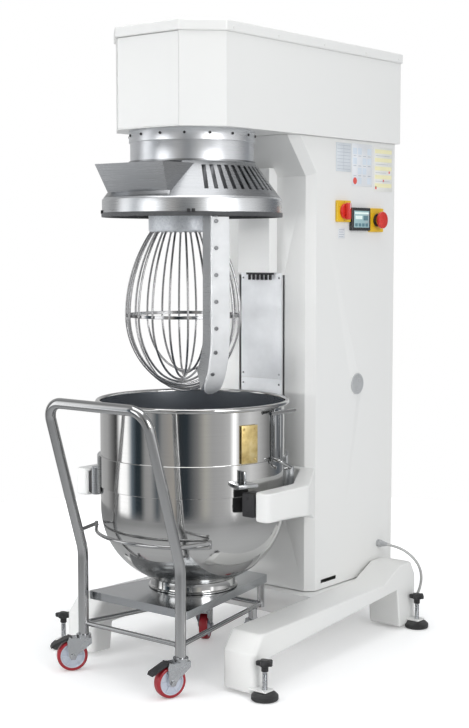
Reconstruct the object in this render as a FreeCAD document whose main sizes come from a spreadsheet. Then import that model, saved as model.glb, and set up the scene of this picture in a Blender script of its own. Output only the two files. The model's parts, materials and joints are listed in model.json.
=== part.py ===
import FreeCAD, Part
import math
import os
import Sketcher
from FreeCAD import Placement, Rotation, Vector

# Floor-standing planetary mixer with its bowl on a trolley.
# Millimetres. +Z is up, the front faces -Y, and the floor is z = 0.
# Sheet values that start with y, or are named front/rear/reach, are measured
# along Y from the bowl's axis, which stands at dims.bowl_y.

os.makedirs("parts", exist_ok=True)
doc = FreeCAD.newDocument("stand_mixer")
sheet = doc.addObject("Spreadsheet::Sheet", "dims")

DIMENSIONS = [
    ("bowl_y", -209.5), ("gauge", 3), ("fit_gap", 0.3), ("running_gap", 0.05),
    # base
    ("leg_front", -190), ("leg_rear", 845), ("leg_half_front", 405), ("leg_half_rear", 345),
    ("leg_width", 128), ("leg_clear", 12), ("leg_toe_top", 135), ("leg_toe_run", 45),
    ("base_top", 187), ("heel_top", 235), ("toe_length", 78), ("heel_length", 120),
    ("arch_front", 104), ("arch_rear", 150), ("beam_front", 330), ("beam_under", 100),
    # levelling screws
    ("foot_half_front", 435), ("foot_half_rear", 376), ("foot_y_front", -175),
    ("foot_y_rear", 800), ("pad_radius", 42), ("pad_height", 24), ("spindle_radius", 8),
    ("knob_height", 108), ("knob_radius", 19.5), ("lobe_radius", 8.3),
    ("bracket_low", 27), ("bracket_high", 33), ("bracket_length", 46),
    ("bracket_out", 20), ("bracket_in", 48), ("knob_tall", 16), ("knob_waist", 11),
    ("knob_neck", 20),
    ("heel_corner", 30), ("leg_fillet", 22), ("beam_half", 300), ("beyond", 20),
    # column
    ("col_half", 213), ("col_front", 368), ("col_rear", 880), ("col_cut", 27),
    ("brace_foot", 1606), ("brace_reach", 262), ("slot_in", 89), ("slot_out", 101),
    ("slot_low", 440), ("slot_high", 1272), ("panel_low", 440), ("panel_high", 1279),
    ("panel_thick", 2), ("pocket_front", 431), ("pocket_rear", 523), ("pocket_low", 207),
    ("pocket_high", 219), ("port_radius", 38), ("port_y", 642), ("port_z", 886),
    ("gland_bore", 9), ("vent_half", 110), ("vent_low", 1180), ("vent_tall", 10),
    ("vent_pitch", 26), ("vents", 12),
    # head
    ("head_half", 232), ("head_cut", 103), ("head_front", -211), ("head_rear", 885),
    ("head_under", 1738), ("head_top", 2024), ("lid_height", 34), ("lid_lip", 6),
    ("seam", 1), ("head_bore", 101),
    # gearbox drum, planet and drive
    ("drum_radius", 199), ("drum_wall", 6), ("drum_low", 1636), ("collar_radius", 203),
    ("collar_low", 1700), ("boss_radius", 99), ("boss_top", 1800), ("bearing_radius", 47),
    ("shaft_radius", 30), ("planet_offset", 100), ("planet_angle", 148.2),
    ("carrier_radius", 185), ("carrier_low", 1520), ("carrier_top", 1630),
    ("gear_low", 1655), ("gear_high", 1695), ("tooth_module", 4), ("planet_teeth", 25),
    ("pulley_low", 1830), ("pulley_high", 1868), ("driven_radius", 170), ("drive_radius", 50),
    ("motor_y", 650), ("motor_radius", 100), ("motor_low", 1440), ("belt_depth", 7),
    ("motor_shaft", 14),
    # whisk and scraper
    ("whisk_shaft_radius", 25), ("hub_radius", 114), ("hub_low", 1418), ("hub_high", 1488),
    ("whisk_radius", 190), ("whisk_middle", 1143), ("wire_radius", 3.6), ("wire_top", 106),
    ("whisk_depth", 252), ("wire_pitch", 7.6), ("loops", 10), ("loop_turn", 9.5),
    ("band_tall", 10),
    ("blade_outer", 288), ("blade_thick", 12), ("blade_width", 60), ("arm_depth", 76),
    ("arm_thick", 14), ("blade_bend", 1104), ("blade_centre", 48), ("blade_sweep", 56),
    # guard
    ("guard_radius", 291), ("guard_low", 1478), ("guard_ring_top", 1519),
    ("cone_foot", 286), ("cone_low", 1525), ("cone_head", 204), ("seal_low", 1464),
    ("slot_width", 13), ("slot_length", 56), ("slot_tall", 110), ("slot_foot", 1530),
    ("slot_reach", 214), ("slot_turn", 6.6), ("side_slots", 10), ("chute_low_half", 126),
    ("chute_high_half", 142),
    ("chute_low_reach", 262), ("chute_high_reach", 302), ("chute_low", 1541),
    ("chute_high", 1627), ("chute_edge", 12), ("chute_root", 100), ("window_low", 1552),
    ("window_high", 1660), ("window_rear", 180),
    # housing under the head
    ("housing_half", 69), ("housing_front", 322), ("housing_low", 1281), ("housing_high", 1634),
    ("tuft_radius", 6), ("tuft_drop", 26), ("tuft_y", 352), ("tuft_pitch", 18),
    ("tuft_first", -40), ("strip_left", 50), ("strip_right", 60), ("strip_half", 8),
    # lift
    ("yoke_low", 530), ("yoke_high", 621), ("yoke_root_low", 446), ("yoke_half", 415),
    ("yoke_arm", 60), ("yoke_front", -130), ("yoke_bend", 84), ("yoke_root_half", 235),
    ("yoke_back", 335), ("pad_in", 309), ("pad_front", -130), ("pad_rear", -72),
    ("lift_y", 450), ("rod_half", 70), ("rod_radius", 15), ("screw_radius", 16),
    ("lift_motor_top", 415), ("lift_motor_radius", 60), ("rod_top", 1400),
    ("yoke_root_in", 190), ("yoke_step", 130), ("yoke_corner", 20), ("block_half", 110),
    ("block_front", 405), ("block_rear", 495), ("block_low", 470), ("block_high", 616),
    ("web_x", 95), ("web_half", 3), ("cap_half", 25), ("flange_half", 50),
    # bowl
    ("bowl_radius", 302), ("bowl_wall", 3), ("bowl_top", 868), ("bowl_straight", 522),
    ("bowl_knuckle", 245), ("knuckle_angle", 55), ("rim_radius", 8), ("band_low", 595),
    ("band_high", 696), ("band_thick", 4), ("foot_radius", 139), ("foot_low", 255.5),
    ("foot_high", 325), ("lug_angle", 39), ("lug_low", 558), ("lug_high", 650),
    ("shelf_low", 628), ("shelf_thick", 12), ("shelf_out", 350), ("wear_low", 692),
    ("wear_high", 812), ("wear_width", 62), ("wear_angle", -14.5), ("wear_thick", 7),
    ("lug_boss", 15), ("lug_half_angle", 13), ("shelf_angle", -20), ("shelf_wide", 70),
    ("gusset_thick", 8), ("gusset_tall", 40), ("stay_low", 690), ("stay_tall", 150),
    ("stay_wide", 16), ("stay_first", 36), ("stay_second", 62), ("grip_z", 848),
    ("grip_radius", 6), ("grip_length", 130), ("foot_flare", 8),
    # trolley
    ("post_half", 208.5), ("post_y", -303), ("tube_radius", 16.85), ("tube_wall", 2),
    ("post_low", 119), ("lean_low", 395), ("handle_y", -455), ("handle_top", 888),
    ("handle_bend", 62), ("rear_half", 93), ("rear_post_y", 246), ("rail_z", 155),
    ("rail_radius", 8), ("platform_top", 255), ("platform_front", -277),
    ("platform_lip", 26), ("hoop_radius", 318), ("hoop_z", 447), ("hoop_rod", 6),
    ("rear_castor_half", 108), ("rear_castor_y", 180), ("post_bend", 150), ("stub_rise", 14),
    ("rear_post_radius", 12), ("stem_radius", 15), ("tray_side", 3), ("tray_rear", 16),
    # castors
    ("wheel_radius", 50), ("wheel_width", 30), ("castor_trail", 38), ("fork_gap", 38),
    ("fork_sheet", 3), ("axle_radius", 6), ("castor_top", 118.7), ("pedal_reach", 47),
    ("pedal_drop", 12), ("pin_radius", 3),
    # controls, on the column's right side
    ("switch_y", 545), ("switch_z", 1491), ("screen_y", 646), ("screen_z", 1465),
    ("screen_long", 114), ("screen_tall", 80), ("stop_y", 750), ("stop_z", 1463),
    ("plate_thick", 9), ("button_radius", 30), ("switch_long", 82), ("switch_tall", 74),
    ("stop_long", 88), ("stop_tall", 84), ("screen_thick", 14), ("skirt_radius", 26),
    ("grip_half", 9), ("grip_tall", 30), ("stem_half", 13),
    # mains cable
    ("gland_y", 791), ("gland_z", 288), ("cord_radius", 5), ("coil_y", 1010),
    ("coil_x", 30), ("coil_radius", 57), ("coil_half", 15), ("coil_height", 22),
    ("plug_x", -98.2), ("plug_grip", 24), ("plug_long", 70), ("plug_collar", 28.5),
    ("plug_cup", 40), ("plug_well", 23), ("pin_circle", 13), ("tail_x", -64),
    ("tail_y", -76), ("tail_z", 29),
]
for row, (alias, value) in enumerate(DIMENSIONS, start=1):
    sheet.set(f"A{row}", alias)
    sheet.set(f"B{row}", str(value))
    sheet.setAlias(f"B{row}", alias)
doc.recompute()

NODES = []
CORNERS = [("front_right", 1, "front"), ("front_left", -1, "front"),
           ("rear_right", 1, "rear"), ("rear_left", -1, "rear")]
UP = Vector(0, 0, 1)


def value(expression):
    """The number that an expression over the sheet gives."""
    result = sheet.evalExpression(str(expression))
    return float(getattr(result, "Value", result))


def along(expression):
    """A Y position measured from the bowl's axis, as an expression."""
    return f"dims.bowl_y + {expression}"


def node(thing, label):
    thing.Label = label
    NODES.append(thing)
    return thing


def move(thing, x="0", y="0", z="0"):
    for axis, expression in zip("xyz", (x, y, z)):
        thing.setExpression(f".Placement.Base.{axis}", str(expression))
    return thing


def box(name, x, y, z):
    """A box between two expressions along each axis."""
    thing = doc.addObject("Part::Box", name)
    for prop, (low, high) in zip(("Length", "Width", "Height"), (x, y, z)):
        thing.setExpression(prop, f"({high}) - ({low})")
    return move(thing, x[0], y[0], z[0])


def rod(name, radius, low, high, x="0", y="dims.bowl_y"):
    """An upright cylinder between two heights."""
    thing = doc.addObject("Part::Cylinder", name)
    thing.setExpression("Radius", str(radius))
    thing.setExpression("Height", f"({high}) - ({low})")
    return move(thing, x, y, low)


def side_rod(name, radius, x, y, z):
    """A cylinder along X between two expressions."""
    thing = doc.addObject("Part::Cylinder", name)
    thing.setExpression("Radius", str(radius))
    thing.setExpression("Height", f"({x[1]}) - ({x[0]})")
    thing.Placement = Placement(Vector(), Rotation(Vector(0, 1, 0), 90))
    return move(thing, x[0], y, z)


def cut(name, base, *tools):
    thing = doc.addObject("Part::Cut", name)
    thing.Base = base
    thing.Tool = tools[0] if len(tools) == 1 else fuse(name + "_tools", *tools)
    return thing


def fuse(name, *pieces):
    thing = doc.addObject("Part::MultiFuse", name)
    thing.Shapes = list(pieces)
    return thing


def common(name, *pieces):
    thing = doc.addObject("Part::MultiCommon", name)
    thing.Shapes = list(pieces)
    return thing


def group(name, *pieces):
    thing = doc.addObject("Part::Compound", name)
    thing.Links = list(pieces)
    return thing


def feature(name, shape):
    thing = doc.addObject("Part::Feature", name)
    thing.Shape = shape
    return thing


def outline(body, role, points):
    """A closed sketch whose corners are held by sheet expressions."""
    plane = [o for o in body.Origin.OriginFeatures if o.Role == role][0]
    sketch = body.newObject("Sketcher::SketchObject", body.Name + "_outline")
    sketch.AttachmentSupport = [(plane, "")]
    sketch.MapMode = "FlatFace"
    spots = [(value(a), value(b)) for a, b in points]
    count = len(points)
    for i in range(count):
        start, end = Vector(*spots[i], 0), Vector(*spots[(i + 1) % count], 0)
        sketch.addGeometry(Part.LineSegment(start, end), False)
    for i in range(count):
        sketch.addConstraint(Sketcher.Constraint("Coincident", i, 2, (i + 1) % count, 1))
    for i in range(count):
        for kind, axis, k in (("DistanceX", -2, 0), ("DistanceY", -1, 1)):
            if abs(spots[i][k]) < 1e-9:
                sketch.addConstraint(Sketcher.Constraint("PointOnObject", i, 1, axis))
                continue
            index = sketch.addConstraint(Sketcher.Constraint(kind, -1, 1, i, 1, spots[i][k]))
            sketch.setExpression(f"Constraints[{index}]", str(points[i][k]))
    return sketch


def pad(name, role, points, length, both=False, reverse=False):
    """A body that pads an outline by a length."""
    body = doc.addObject("PartDesign::Body", name)
    sketch = outline(body, role, points)
    thing = body.newObject("PartDesign::Pad", name + "_pad")
    thing.Profile = sketch
    thing.setExpression("Length", str(length))
    thing.Midplane = both
    thing.Reversed = reverse
    doc.recompute()
    return body


def turn(name, points):
    """A body turned about Z from an outline of radius and height."""
    body = doc.addObject("PartDesign::Body", name)
    sketch = outline(body, "XZ_Plane", points)
    thing = body.newObject("PartDesign::Revolution", name + "_turn")
    thing.Profile = sketch
    thing.ReferenceAxis = (sketch, ["V_Axis"])
    thing.Angle = 360
    doc.recompute()
    return body


def on_axis(thing):
    """Stands a piece on the bowl's axis."""
    return move(thing, "0", "dims.bowl_y", "0")


def dress(body, kind, size, wanted):
    """Fillets or chamfers the edges of a body that a test picks."""
    last = body.Tip
    edges = enumerate(last.Shape.Edges, start=1)
    names = [f"Edge{i}" for i, edge in edges if wanted(edge)]
    thing = body.newObject(f"PartDesign::{kind}", f"{body.Name}_{kind.lower()}")
    thing.Base = (last, names)
    thing.setExpression("Radius" if kind == "Fillet" else "Size", str(size))
    body.Tip = thing
    doc.recompute()
    return body


def upright(edge):
    box_ = edge.BoundBox
    return box_.XLength < 1e-6 and box_.YLength < 1e-6


def tube_path(points, radii):
    """Straight runs joined by tangent arcs, as one wire."""
    edges, start = [], points[0]
    for before, corner, after, radius in zip(points, points[1:], points[2:], radii):
        into = (corner - before).normalize()
        out = (after - corner).normalize()
        half = into.getAngle(out) / 2
        reach = radius * math.tan(half)
        first, last = corner - into * reach, corner + out * reach
        middle = (out - into).normalize()
        centre_way = corner + middle * (radius / math.cos(half))
        top = centre_way - middle * radius
        edges += [Part.LineSegment(start, first).toShape(), Part.Arc(first, top, last).toShape()]
        start = last
    edges.append(Part.LineSegment(start, points[-1]).toShape())
    return Part.Wire(edges)


def tube(points, radii, outer, inner=0):
    """A round tube, or a solid rod, along a path of runs and arcs."""
    path = tube_path(points, radii)
    way = points[1] - points[0]
    shape = Part.Wire([Part.makeCircle(outer, points[0], way)])
    solid = path.makePipeShell([shape], True, True)
    if inner:
        bore = path.makePipeShell([Part.Wire([Part.makeCircle(inner, points[0], way)])], True, True)
        solid = solid.cut(bore)
    return solid


def at(x, y, z):
    """A point whose Y is measured from the bowl's axis."""
    return Vector(value(x), value(f"dims.bowl_y + {y}"), value(z))


# --- Base ---------------------------------------------------------------

LEG_SIDE = [
    (along("dims.leg_front"), "dims.leg_clear"),
    (along("dims.leg_front"), "dims.leg_toe_top"),
    (along("dims.leg_front + dims.leg_toe_run"), "dims.base_top"),
    (along("dims.col_front"), "dims.base_top"),
    (along("dims.leg_rear - 2 * dims.heel_length"), "dims.base_top"),
    (along("dims.leg_rear - dims.heel_length"), "dims.heel_top"),
    (along("dims.leg_rear - dims.heel_corner"), "dims.heel_top"),
    (along("dims.leg_rear"), "dims.base_top"),
    (along("dims.leg_rear"), "dims.leg_clear"),
    (along("dims.leg_rear - dims.heel_length"), "dims.leg_clear"),
    (along("dims.leg_rear - dims.heel_length - 20"), "dims.arch_rear"),
    (along("dims.leg_front + dims.toe_length + 10"), "dims.arch_front"),
    (along("dims.leg_front + dims.toe_length"), "dims.leg_clear"),
]
LEG_PLAN = [
    ("dims.leg_half_front", along("dims.leg_front")),
    ("dims.leg_half_rear", along("dims.leg_rear")),
    ("dims.leg_half_rear - dims.leg_width", along("dims.leg_rear")),
    ("dims.leg_half_front - dims.leg_width", along("dims.leg_front")),
]


def base_leg(hand):
    name = "leg_right" if hand > 0 else "leg_left"
    plan = [(f"{hand} * ({x})", y) for x, y in LEG_PLAN]
    side = pad(name + "_side", "YZ_Plane", LEG_SIDE, "1000", both=True)
    plate = pad(name + "_plan", "XY_Plane", plan, "dims.heel_top + 10")
    dress(plate, "Fillet", "dims.leg_fillet", upright)
    return common(name, side, plate)


def levelling_spot(hand, end):
    x = f"{hand} * dims.foot_half_{end}"
    return x, along(f"dims.foot_y_{end}")


def bracket(name, hand, end):
    """The welded ear beside a leg that a levelling screw passes through."""
    x, y = levelling_spot(hand, end)
    reach = sorted([f"{x} + {hand} * dims.bracket_out", f"{x} - {hand} * dims.bracket_in"],
                   key=value)
    half = "dims.bracket_length / 2"
    ear = box(name + "_ear", reach, (f"{y} - {half}", f"{y} + {half}"),
              ("dims.bracket_low", "dims.bracket_high"))
    bore = rod(name + "_bore", "dims.spindle_radius + dims.running_gap", "0", "200", x, y)
    return cut(name, ear, bore)


def base_frame():
    beam = box("beam", ("-dims.beam_half", "dims.beam_half"),
               (along("dims.beam_front"), along("dims.leg_rear")),
               ("dims.beam_under", "dims.base_top"))
    ears = [bracket("bracket_" + name, hand, end) for name, hand, end in CORNERS]
    form = fuse("base_form", base_leg(1), base_leg(-1), beam, *ears)
    recesses = [rod("recess_" + name, "dims.pad_radius + 1", "-1", "dims.pad_height + 1",
                    *levelling_spot(hand, end)) for name, hand, end in CORNERS]
    node(cut("base", form, *recesses), "base_frame")


def levelling_pads():
    pads = []
    for name, hand, end in CORNERS:
        x, y = levelling_spot(hand, end)
        foot = turn("foot_" + name, [("0", "0"), ("dims.pad_radius - 3", "0"),
                                     ("dims.pad_radius", "4"), ("dims.pad_radius", "15"),
                                     ("dims.pad_radius - 9", "dims.pad_height"),
                                     ("0", "dims.pad_height")])
        pads.append(move(foot, x, y, "0"))
    node(group("pads", *pads), "levelling_pads")


def levelling_screw(name, hand, end):
    """A spindle with a lobed knob on top."""
    x, y = levelling_spot(hand, end)
    spindle = rod("spindle_" + name, "dims.spindle_radius", "dims.pad_height + dims.fit_gap",
                  "dims.knob_height + 8", x, y)
    foot, crown = "dims.knob_height - dims.knob_neck", "dims.knob_height + dims.knob_tall"
    hub = turn("hub_" + name, [("0", foot), ("dims.knob_waist", foot),
                               ("dims.knob_waist", "dims.knob_height - 4"),
                               ("dims.knob_radius", "dims.knob_height"),
                               ("dims.knob_radius", f"{crown} - 3"),
                               ("dims.knob_waist + 1", crown), ("0", crown)])
    move(hub, x, y, "0")
    lobes = []
    for k in range(5):
        way = math.radians(72 * k)
        lobes.append(rod(f"lobe_{name}_{k}", "dims.lobe_radius", "dims.knob_height",
                         f"{crown} - 3", f"{x} + dims.knob_radius * {math.cos(way)}",
                         f"{y} + dims.knob_radius * {math.sin(way)}"))
    node(fuse("screw_" + name, spindle, hub, *lobes), "levelling_screw_" + name)


base_frame()
levelling_pads()
for corner in CORNERS:
    levelling_screw(*corner)


# --- Column -------------------------------------------------------------

def column_block(name, inset, rear, low, high):
    """The column's outside, or with an inset its inside, as a solid."""
    foot = f"dims.brace_foot + {inset} * 0.4"
    slope = "(dims.col_front - dims.brace_reach) / (dims.head_under - dims.brace_foot)"
    side = [
        (along(f"dims.col_front + {inset}"), low),
        (along(f"dims.col_front + {inset}"), foot),
        (along(f"dims.col_front + {inset} - ({high} - ({foot})) * {slope}"), high),
        (along(rear), high),
        (along(rear), low),
    ]
    body = pad(name, "YZ_Plane", side, f"2 * (dims.col_half - {inset})", both=True)
    front = value(along(f"dims.col_front + {inset}")) + 1
    half = value(f"dims.col_half - {inset}")

    def front_edge(edge):
        limits = edge.BoundBox
        flat = limits.XLength < 1e-6 and abs(abs(limits.XMin) - half) < 1e-6
        return flat and limits.YMax < front and limits.ZLength > 20
    return dress(body, "Chamfer", "dims.col_cut", front_edge)


def column_shell():
    outer = column_block("column_out", "0", "dims.col_rear", "dims.base_top",
                         "dims.head_under - dims.fit_gap")
    inner = column_block("column_in", "dims.gauge", "dims.col_rear + 50",
                         "dims.base_top - 50", "dims.head_under + 50")
    slots = []
    for side, pair in (("right", ("dims.slot_in", "dims.slot_out")),
                       ("left", ("-dims.slot_out", "-dims.slot_in"))):
        slots.append(box("lift_slot_" + side, pair,
                         (along("dims.col_front - dims.beyond"),
                          along("dims.col_front + dims.beyond")),
                         ("dims.slot_low", "dims.slot_high")))
    through = ("dims.col_half - dims.beyond", "dims.col_half + dims.beyond")
    pocket = box("fork_pocket", through, (along("dims.pocket_front"), along("dims.pocket_rear")),
                 ("dims.pocket_low", "dims.pocket_high"))
    port = side_rod("port_cap", "dims.port_radius", ("dims.col_half", "dims.col_half + 3"),
                    along("dims.port_y"), "dims.port_z")
    gland = side_rod("gland_hole", "dims.gland_bore", through, along("dims.gland_y"),
                     "dims.gland_z")
    shell = cut("column_walls", outer, inner, *slots, pocket, gland)
    node(fuse("column", shell, port), "column_shell")


def column_covers():
    panel = pad("panel", "XZ_Plane", [("-dims.slot_in + 2", "dims.panel_low"),
                                      ("dims.slot_in - 2", "dims.panel_low"),
                                      ("dims.slot_in - 2", "dims.panel_high"),
                                      ("-dims.slot_in + 2", "dims.panel_high")],
                "dims.panel_thick")
    move(panel, "0", along("dims.col_front - dims.fit_gap"), "0")
    node(panel, "column_front_panel")
    edge = "dims.col_half - dims.gauge - dims.fit_gap"
    plate = box("rear_plate", (f"-({edge})", edge),
                (along("dims.col_rear - dims.gauge"), along("dims.col_rear")),
                ("dims.base_top", "dims.head_under - 2"))
    vents = []
    for k in range(int(value("dims.vents"))):
        foot = f"dims.vent_low + {k} * dims.vent_pitch"
        vents.append(box(f"vent_{k}", ("-dims.vent_half", "dims.vent_half"),
                         (along("dims.col_rear - dims.beyond"),
                          along("dims.col_rear + dims.beyond")),
                         (foot, f"{foot} + dims.vent_tall")))
    node(cut("rear", plate, *vents), "column_rear_cover")


column_shell()
column_covers()


# --- Head ---------------------------------------------------------------

def head_plan(grow):
    """The head seen from above, with its front corners cut off."""
    half = f"dims.head_half + {grow}"
    flat = f"dims.head_half - dims.head_cut + {grow} * 0.4"
    front, rear = f"dims.head_front - {grow}", f"dims.head_rear + {grow}"
    shoulder = f"dims.head_front + dims.head_cut - {grow} * 0.4"
    return [(f"-({flat})", along(front)), (flat, along(front)), (half, along(shoulder)),
            (half, along(rear)), (f"-({half})", along(rear)), (f"-({half})", along(shoulder))]


def head_block(name, grow, low, high):
    return move(pad(name, "XY_Plane", head_plan(grow), f"{high} - ({low})"), "0", "0", low)


def head_shell():
    outer = head_block("head_out", "0", "dims.head_under", "dims.head_top")
    inner = head_block("head_in", "(-dims.gauge)", "dims.head_under + dims.gauge",
                       "dims.head_top + 20")
    flat = "dims.head_half - dims.head_cut - 1"
    front = box("head_opening", (f"-({flat})", flat),
                (along("dims.head_front - 20"), along("dims.head_front + dims.gauge + 2")),
                ("dims.head_under + dims.gauge", "dims.head_top + 20"))
    bore = rod("head_hole", "dims.head_bore", "dims.head_under - 20", "dims.head_under + 20")
    well = box("head_well", ("-180", "180"), (along("400"), along("860")),
               ("dims.head_under - 20", "dims.head_under + 20"))
    node(cut("head", outer, inner, front, bore, well), "head_shell")
    cover = box("front_plate", (f"-({flat} - dims.seam)", f"{flat} - dims.seam"),
                (along("dims.head_front"), along("dims.head_front + dims.gauge")),
                ("dims.head_under + dims.gauge + dims.fit_gap", "dims.head_top - 1"))
    node(cover, "head_front_cover")


def head_lid():
    top = head_block("lid_out", "dims.lid_lip", "dims.head_top + dims.fit_gap",
                     "dims.head_top + dims.lid_height")
    height = value("dims.lid_height - dims.fit_gap")
    dress(top, "Fillet", "5", lambda edge: edge.BoundBox.ZMin > height - 1e-3)
    hollow = head_block("lid_in", "dims.lid_lip - dims.gauge", "dims.head_top - 10",
                        "dims.head_top + dims.lid_height - dims.gauge")
    node(cut("lid", top, hollow), "head_lid")


head_shell()
head_lid()


# --- Gearbox and drive --------------------------------------------------

def toothed(name, teeth, inside, low, high, rim):
    """A spur gear with straight-flanked teeth; an inside gear has its teeth inwards."""
    module = value("dims.tooth_module")
    pitch = module * teeth / 2
    grow = -1 if inside else 1
    tip, root = pitch + grow * module * 0.9, pitch - grow * module * 1.1
    step = 2 * math.pi / teeth
    corners = []
    for k in range(teeth):
        middle = k * step + (step / 2 if inside else 0)
        for radius, part in ((root, -0.32), (tip, -0.13), (tip, 0.13), (root, 0.32)):
            angle = middle + part * step
            corners.append(Vector(radius * math.cos(angle), radius * math.sin(angle), 0))
    face = Part.Face(Part.makePolygon(corners + corners[:1]))
    if inside:
        face = Part.Face(Part.Wire([Part.makeCircle(rim)])).cut(face)
    solid = face.extrude(UP * (high - low))
    solid.translate(Vector(0, 0, low))
    return solid


def gearbox():
    boss, wall = "dims.boss_radius", "dims.drum_radius - dims.drum_wall"
    top = "dims.head_under - dims.fit_gap"
    node(on_axis(turn("drum", [
        (wall, "dims.drum_low"), ("dims.drum_radius", "dims.drum_low"),
        ("dims.drum_radius", "dims.collar_low"), ("dims.collar_radius", "dims.collar_low + 3"),
        ("dims.collar_radius", top), (boss, top), (boss, "dims.boss_top"),
        ("dims.bearing_radius", "dims.boss_top"),
        ("dims.bearing_radius", "dims.head_under - 12"), (wall, "dims.head_under - 12")])),
        "gearbox_drum")
    ring = toothed("ring", 3 * int(value("dims.planet_teeth")), True, value("dims.gear_low"),
                   value("dims.gear_high"), value("dims.drum_radius - dims.drum_wall - 0.3"))
    ring.rotate(Vector(), UP, value("dims.planet_angle"))
    ring.translate(Vector(0, value("dims.bowl_y"), 0))
    node(feature("ring_teeth", ring), "ring_gear")
    races = []
    for k, low in enumerate(("dims.head_under + 2", "dims.boss_top - 22")):
        outer = rod(f"race_{k}", "dims.bearing_radius - dims.running_gap", low, f"{low} + 20")
        inner = rod(f"race_bore_{k}", "dims.shaft_radius + dims.running_gap", f"{low} - 5",
                    f"{low} + 30")
        races.append(cut(f"bearing_{k}", outer, inner))
    node(group("bearings", *races), "main_bearings")


def planet_point():
    """Where the whisk's axis stands: x and y as expressions."""
    way = "dims.planet_angle * 1 deg"
    return (f"dims.planet_offset * cos({way})",
            f"dims.bowl_y + dims.planet_offset * sin({way})")


def planet():
    drum = on_axis(turn("carrier_drum", [
        ("0", "dims.carrier_low"), ("dims.carrier_radius - 10", "dims.carrier_low"),
        ("dims.carrier_radius", "dims.carrier_low + 10"), ("dims.carrier_radius", "dims.carrier_top"),
        ("dims.shaft_radius", "dims.carrier_top"), ("dims.shaft_radius", "dims.pulley_high + 12"),
        ("0", "dims.pulley_high + 12")]))
    x, y = planet_point()
    bore = rod("whisk_bore", "dims.whisk_shaft_radius + dims.running_gap",
               "dims.carrier_low - dims.beyond", "dims.carrier_top + dims.beyond", x, y)
    node(cut("carrier", drum, bore), "planet_carrier")
    shaft = Part.makeCylinder(value("dims.whisk_shaft_radius"),
                              value("dims.gear_low - dims.hub_high"),
                              Vector(0, 0, value("dims.hub_high")))
    gear = toothed("pinion", int(value("dims.planet_teeth")), False, value("dims.gear_low"),
                   value("dims.gear_high"), 0)
    whole = shaft.fuse(gear)
    whole.rotate(Vector(), UP, value("dims.planet_angle"))
    whole.translate(Vector(value(x), value(y), 0))
    node(feature("shaft_and_pinion", whole), "whisk_shaft")


def belt_loop(grow, low, high):
    """The filled outline round both pulleys, grown outwards and padded."""
    big, small = (value(f"dims.{k}_radius") + grow for k in ("driven", "drive"))
    reach = value("dims.motor_y")
    lean = math.acos((big - small) / reach)
    points = []
    for radius, centre in ((big, 0), (small, reach)):
        for sign in (1, -1):
            points.append(Vector(sign * radius * math.sin(lean),
                                 centre + radius * math.cos(lean), 0))
    right_big, left_big, right_small, left_small = points
    edges = [
        Part.Arc(left_big, Vector(0, -big, 0), right_big).toShape(),
        Part.LineSegment(right_big, right_small).toShape(),
        Part.Arc(right_small, Vector(0, reach + small, 0), left_small).toShape(),
        Part.LineSegment(left_small, left_big).toShape(),
    ]
    solid = Part.Face(Part.Wire(edges)).extrude(UP * (high - low))
    solid.translate(Vector(0, value("dims.bowl_y"), low))
    return solid


def pulley_outline(radius, bore, low, high):
    """A flat-grooved pulley's half section."""
    return [(bore, low), (f"{radius} + 4", low), (f"{radius} + 4", f"{low} + 4"),
            (radius, f"{low} + 5"), (radius, f"{high} - 5"), (f"{radius} + 4", f"{high} - 4"),
            (f"{radius} + 4", high), (bore, high)]


def drive():
    node(on_axis(turn("big_pulley", pulley_outline(
        "dims.driven_radius", "dims.shaft_radius + dims.running_gap", "dims.pulley_low",
        "dims.pulley_high"))), "driven_pulley")
    small = pulley_outline("dims.drive_radius", "0", "dims.pulley_low", "dims.pulley_high")
    small = [("dims.motor_shaft", "dims.head_under + 10"), *small[1:],
             ("0", "dims.head_under + 10")]
    small.insert(1, ("dims.motor_shaft", "dims.pulley_low"))
    node(move(turn("small_pulley", small), "0", along("dims.motor_y"), "0"), "motor_pulley")
    low, high = value("dims.pulley_low + 6"), value("dims.pulley_high - 6")
    loop = belt_loop(value("dims.fit_gap + dims.belt_depth"), low, high)
    loop = loop.cut(belt_loop(value("dims.fit_gap"), low - 5, high + 5))
    node(feature("belt", loop), "drive_belt")


def main_motor():
    """A flange motor hung under the head, with cooling ribs and a terminal box."""
    y = along("dims.motor_y")
    can = rod("motor_can", "dims.motor_radius - 10", "dims.motor_low", "dims.head_under - 20",
              "0", y)
    flange = rod("motor_flange", "dims.motor_radius + 5", "dims.head_under - 30",
                 "dims.head_under - 12", "0", y)
    cowl = rod("motor_cowl", "dims.motor_radius", "dims.motor_low - 30",
               "dims.motor_low + 20", "0", y)
    nose = rod("motor_nose", "40", "dims.head_under - 20", "dims.head_under + 8", "0", y)
    ribs = [rod(f"motor_rib_{k}", "dims.motor_radius", f"dims.motor_low + {34 + 20 * k}",
                f"dims.motor_low + {39 + 20 * k}", "0", y) for k in range(11)]
    case = box("motor_box", ("60", "140"), (f"{y} - 50", f"{y} + 50"),
               ("dims.motor_low + 90", "dims.motor_low + 190"))
    side = "dims.col_half - dims.gauge - dims.fit_gap"
    plate = box("motor_plate", (f"-({side})", side), (f"{y} - 100", f"{y} + 120"),
                ("dims.head_under - 18", "dims.head_under - 8"))
    node(fuse("motor", can, flange, cowl, nose, case, plate, *ribs), "main_motor")


gearbox()
planet()
drive()
main_motor()


# --- Whisk and scraper --------------------------------------------------

def whisk_hub():
    x, y = planet_point()
    hub = turn("hub", [
        ("0", "dims.hub_low"), ("dims.hub_radius - 4", "dims.hub_low"),
        ("dims.hub_radius", "dims.hub_low + 4"), ("dims.hub_radius", "dims.hub_high - 3"),
        ("dims.hub_radius - 3", "dims.hub_high"), ("0", "dims.hub_high")])
    node(move(hub, x, y, "0"), "whisk_hub")


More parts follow.
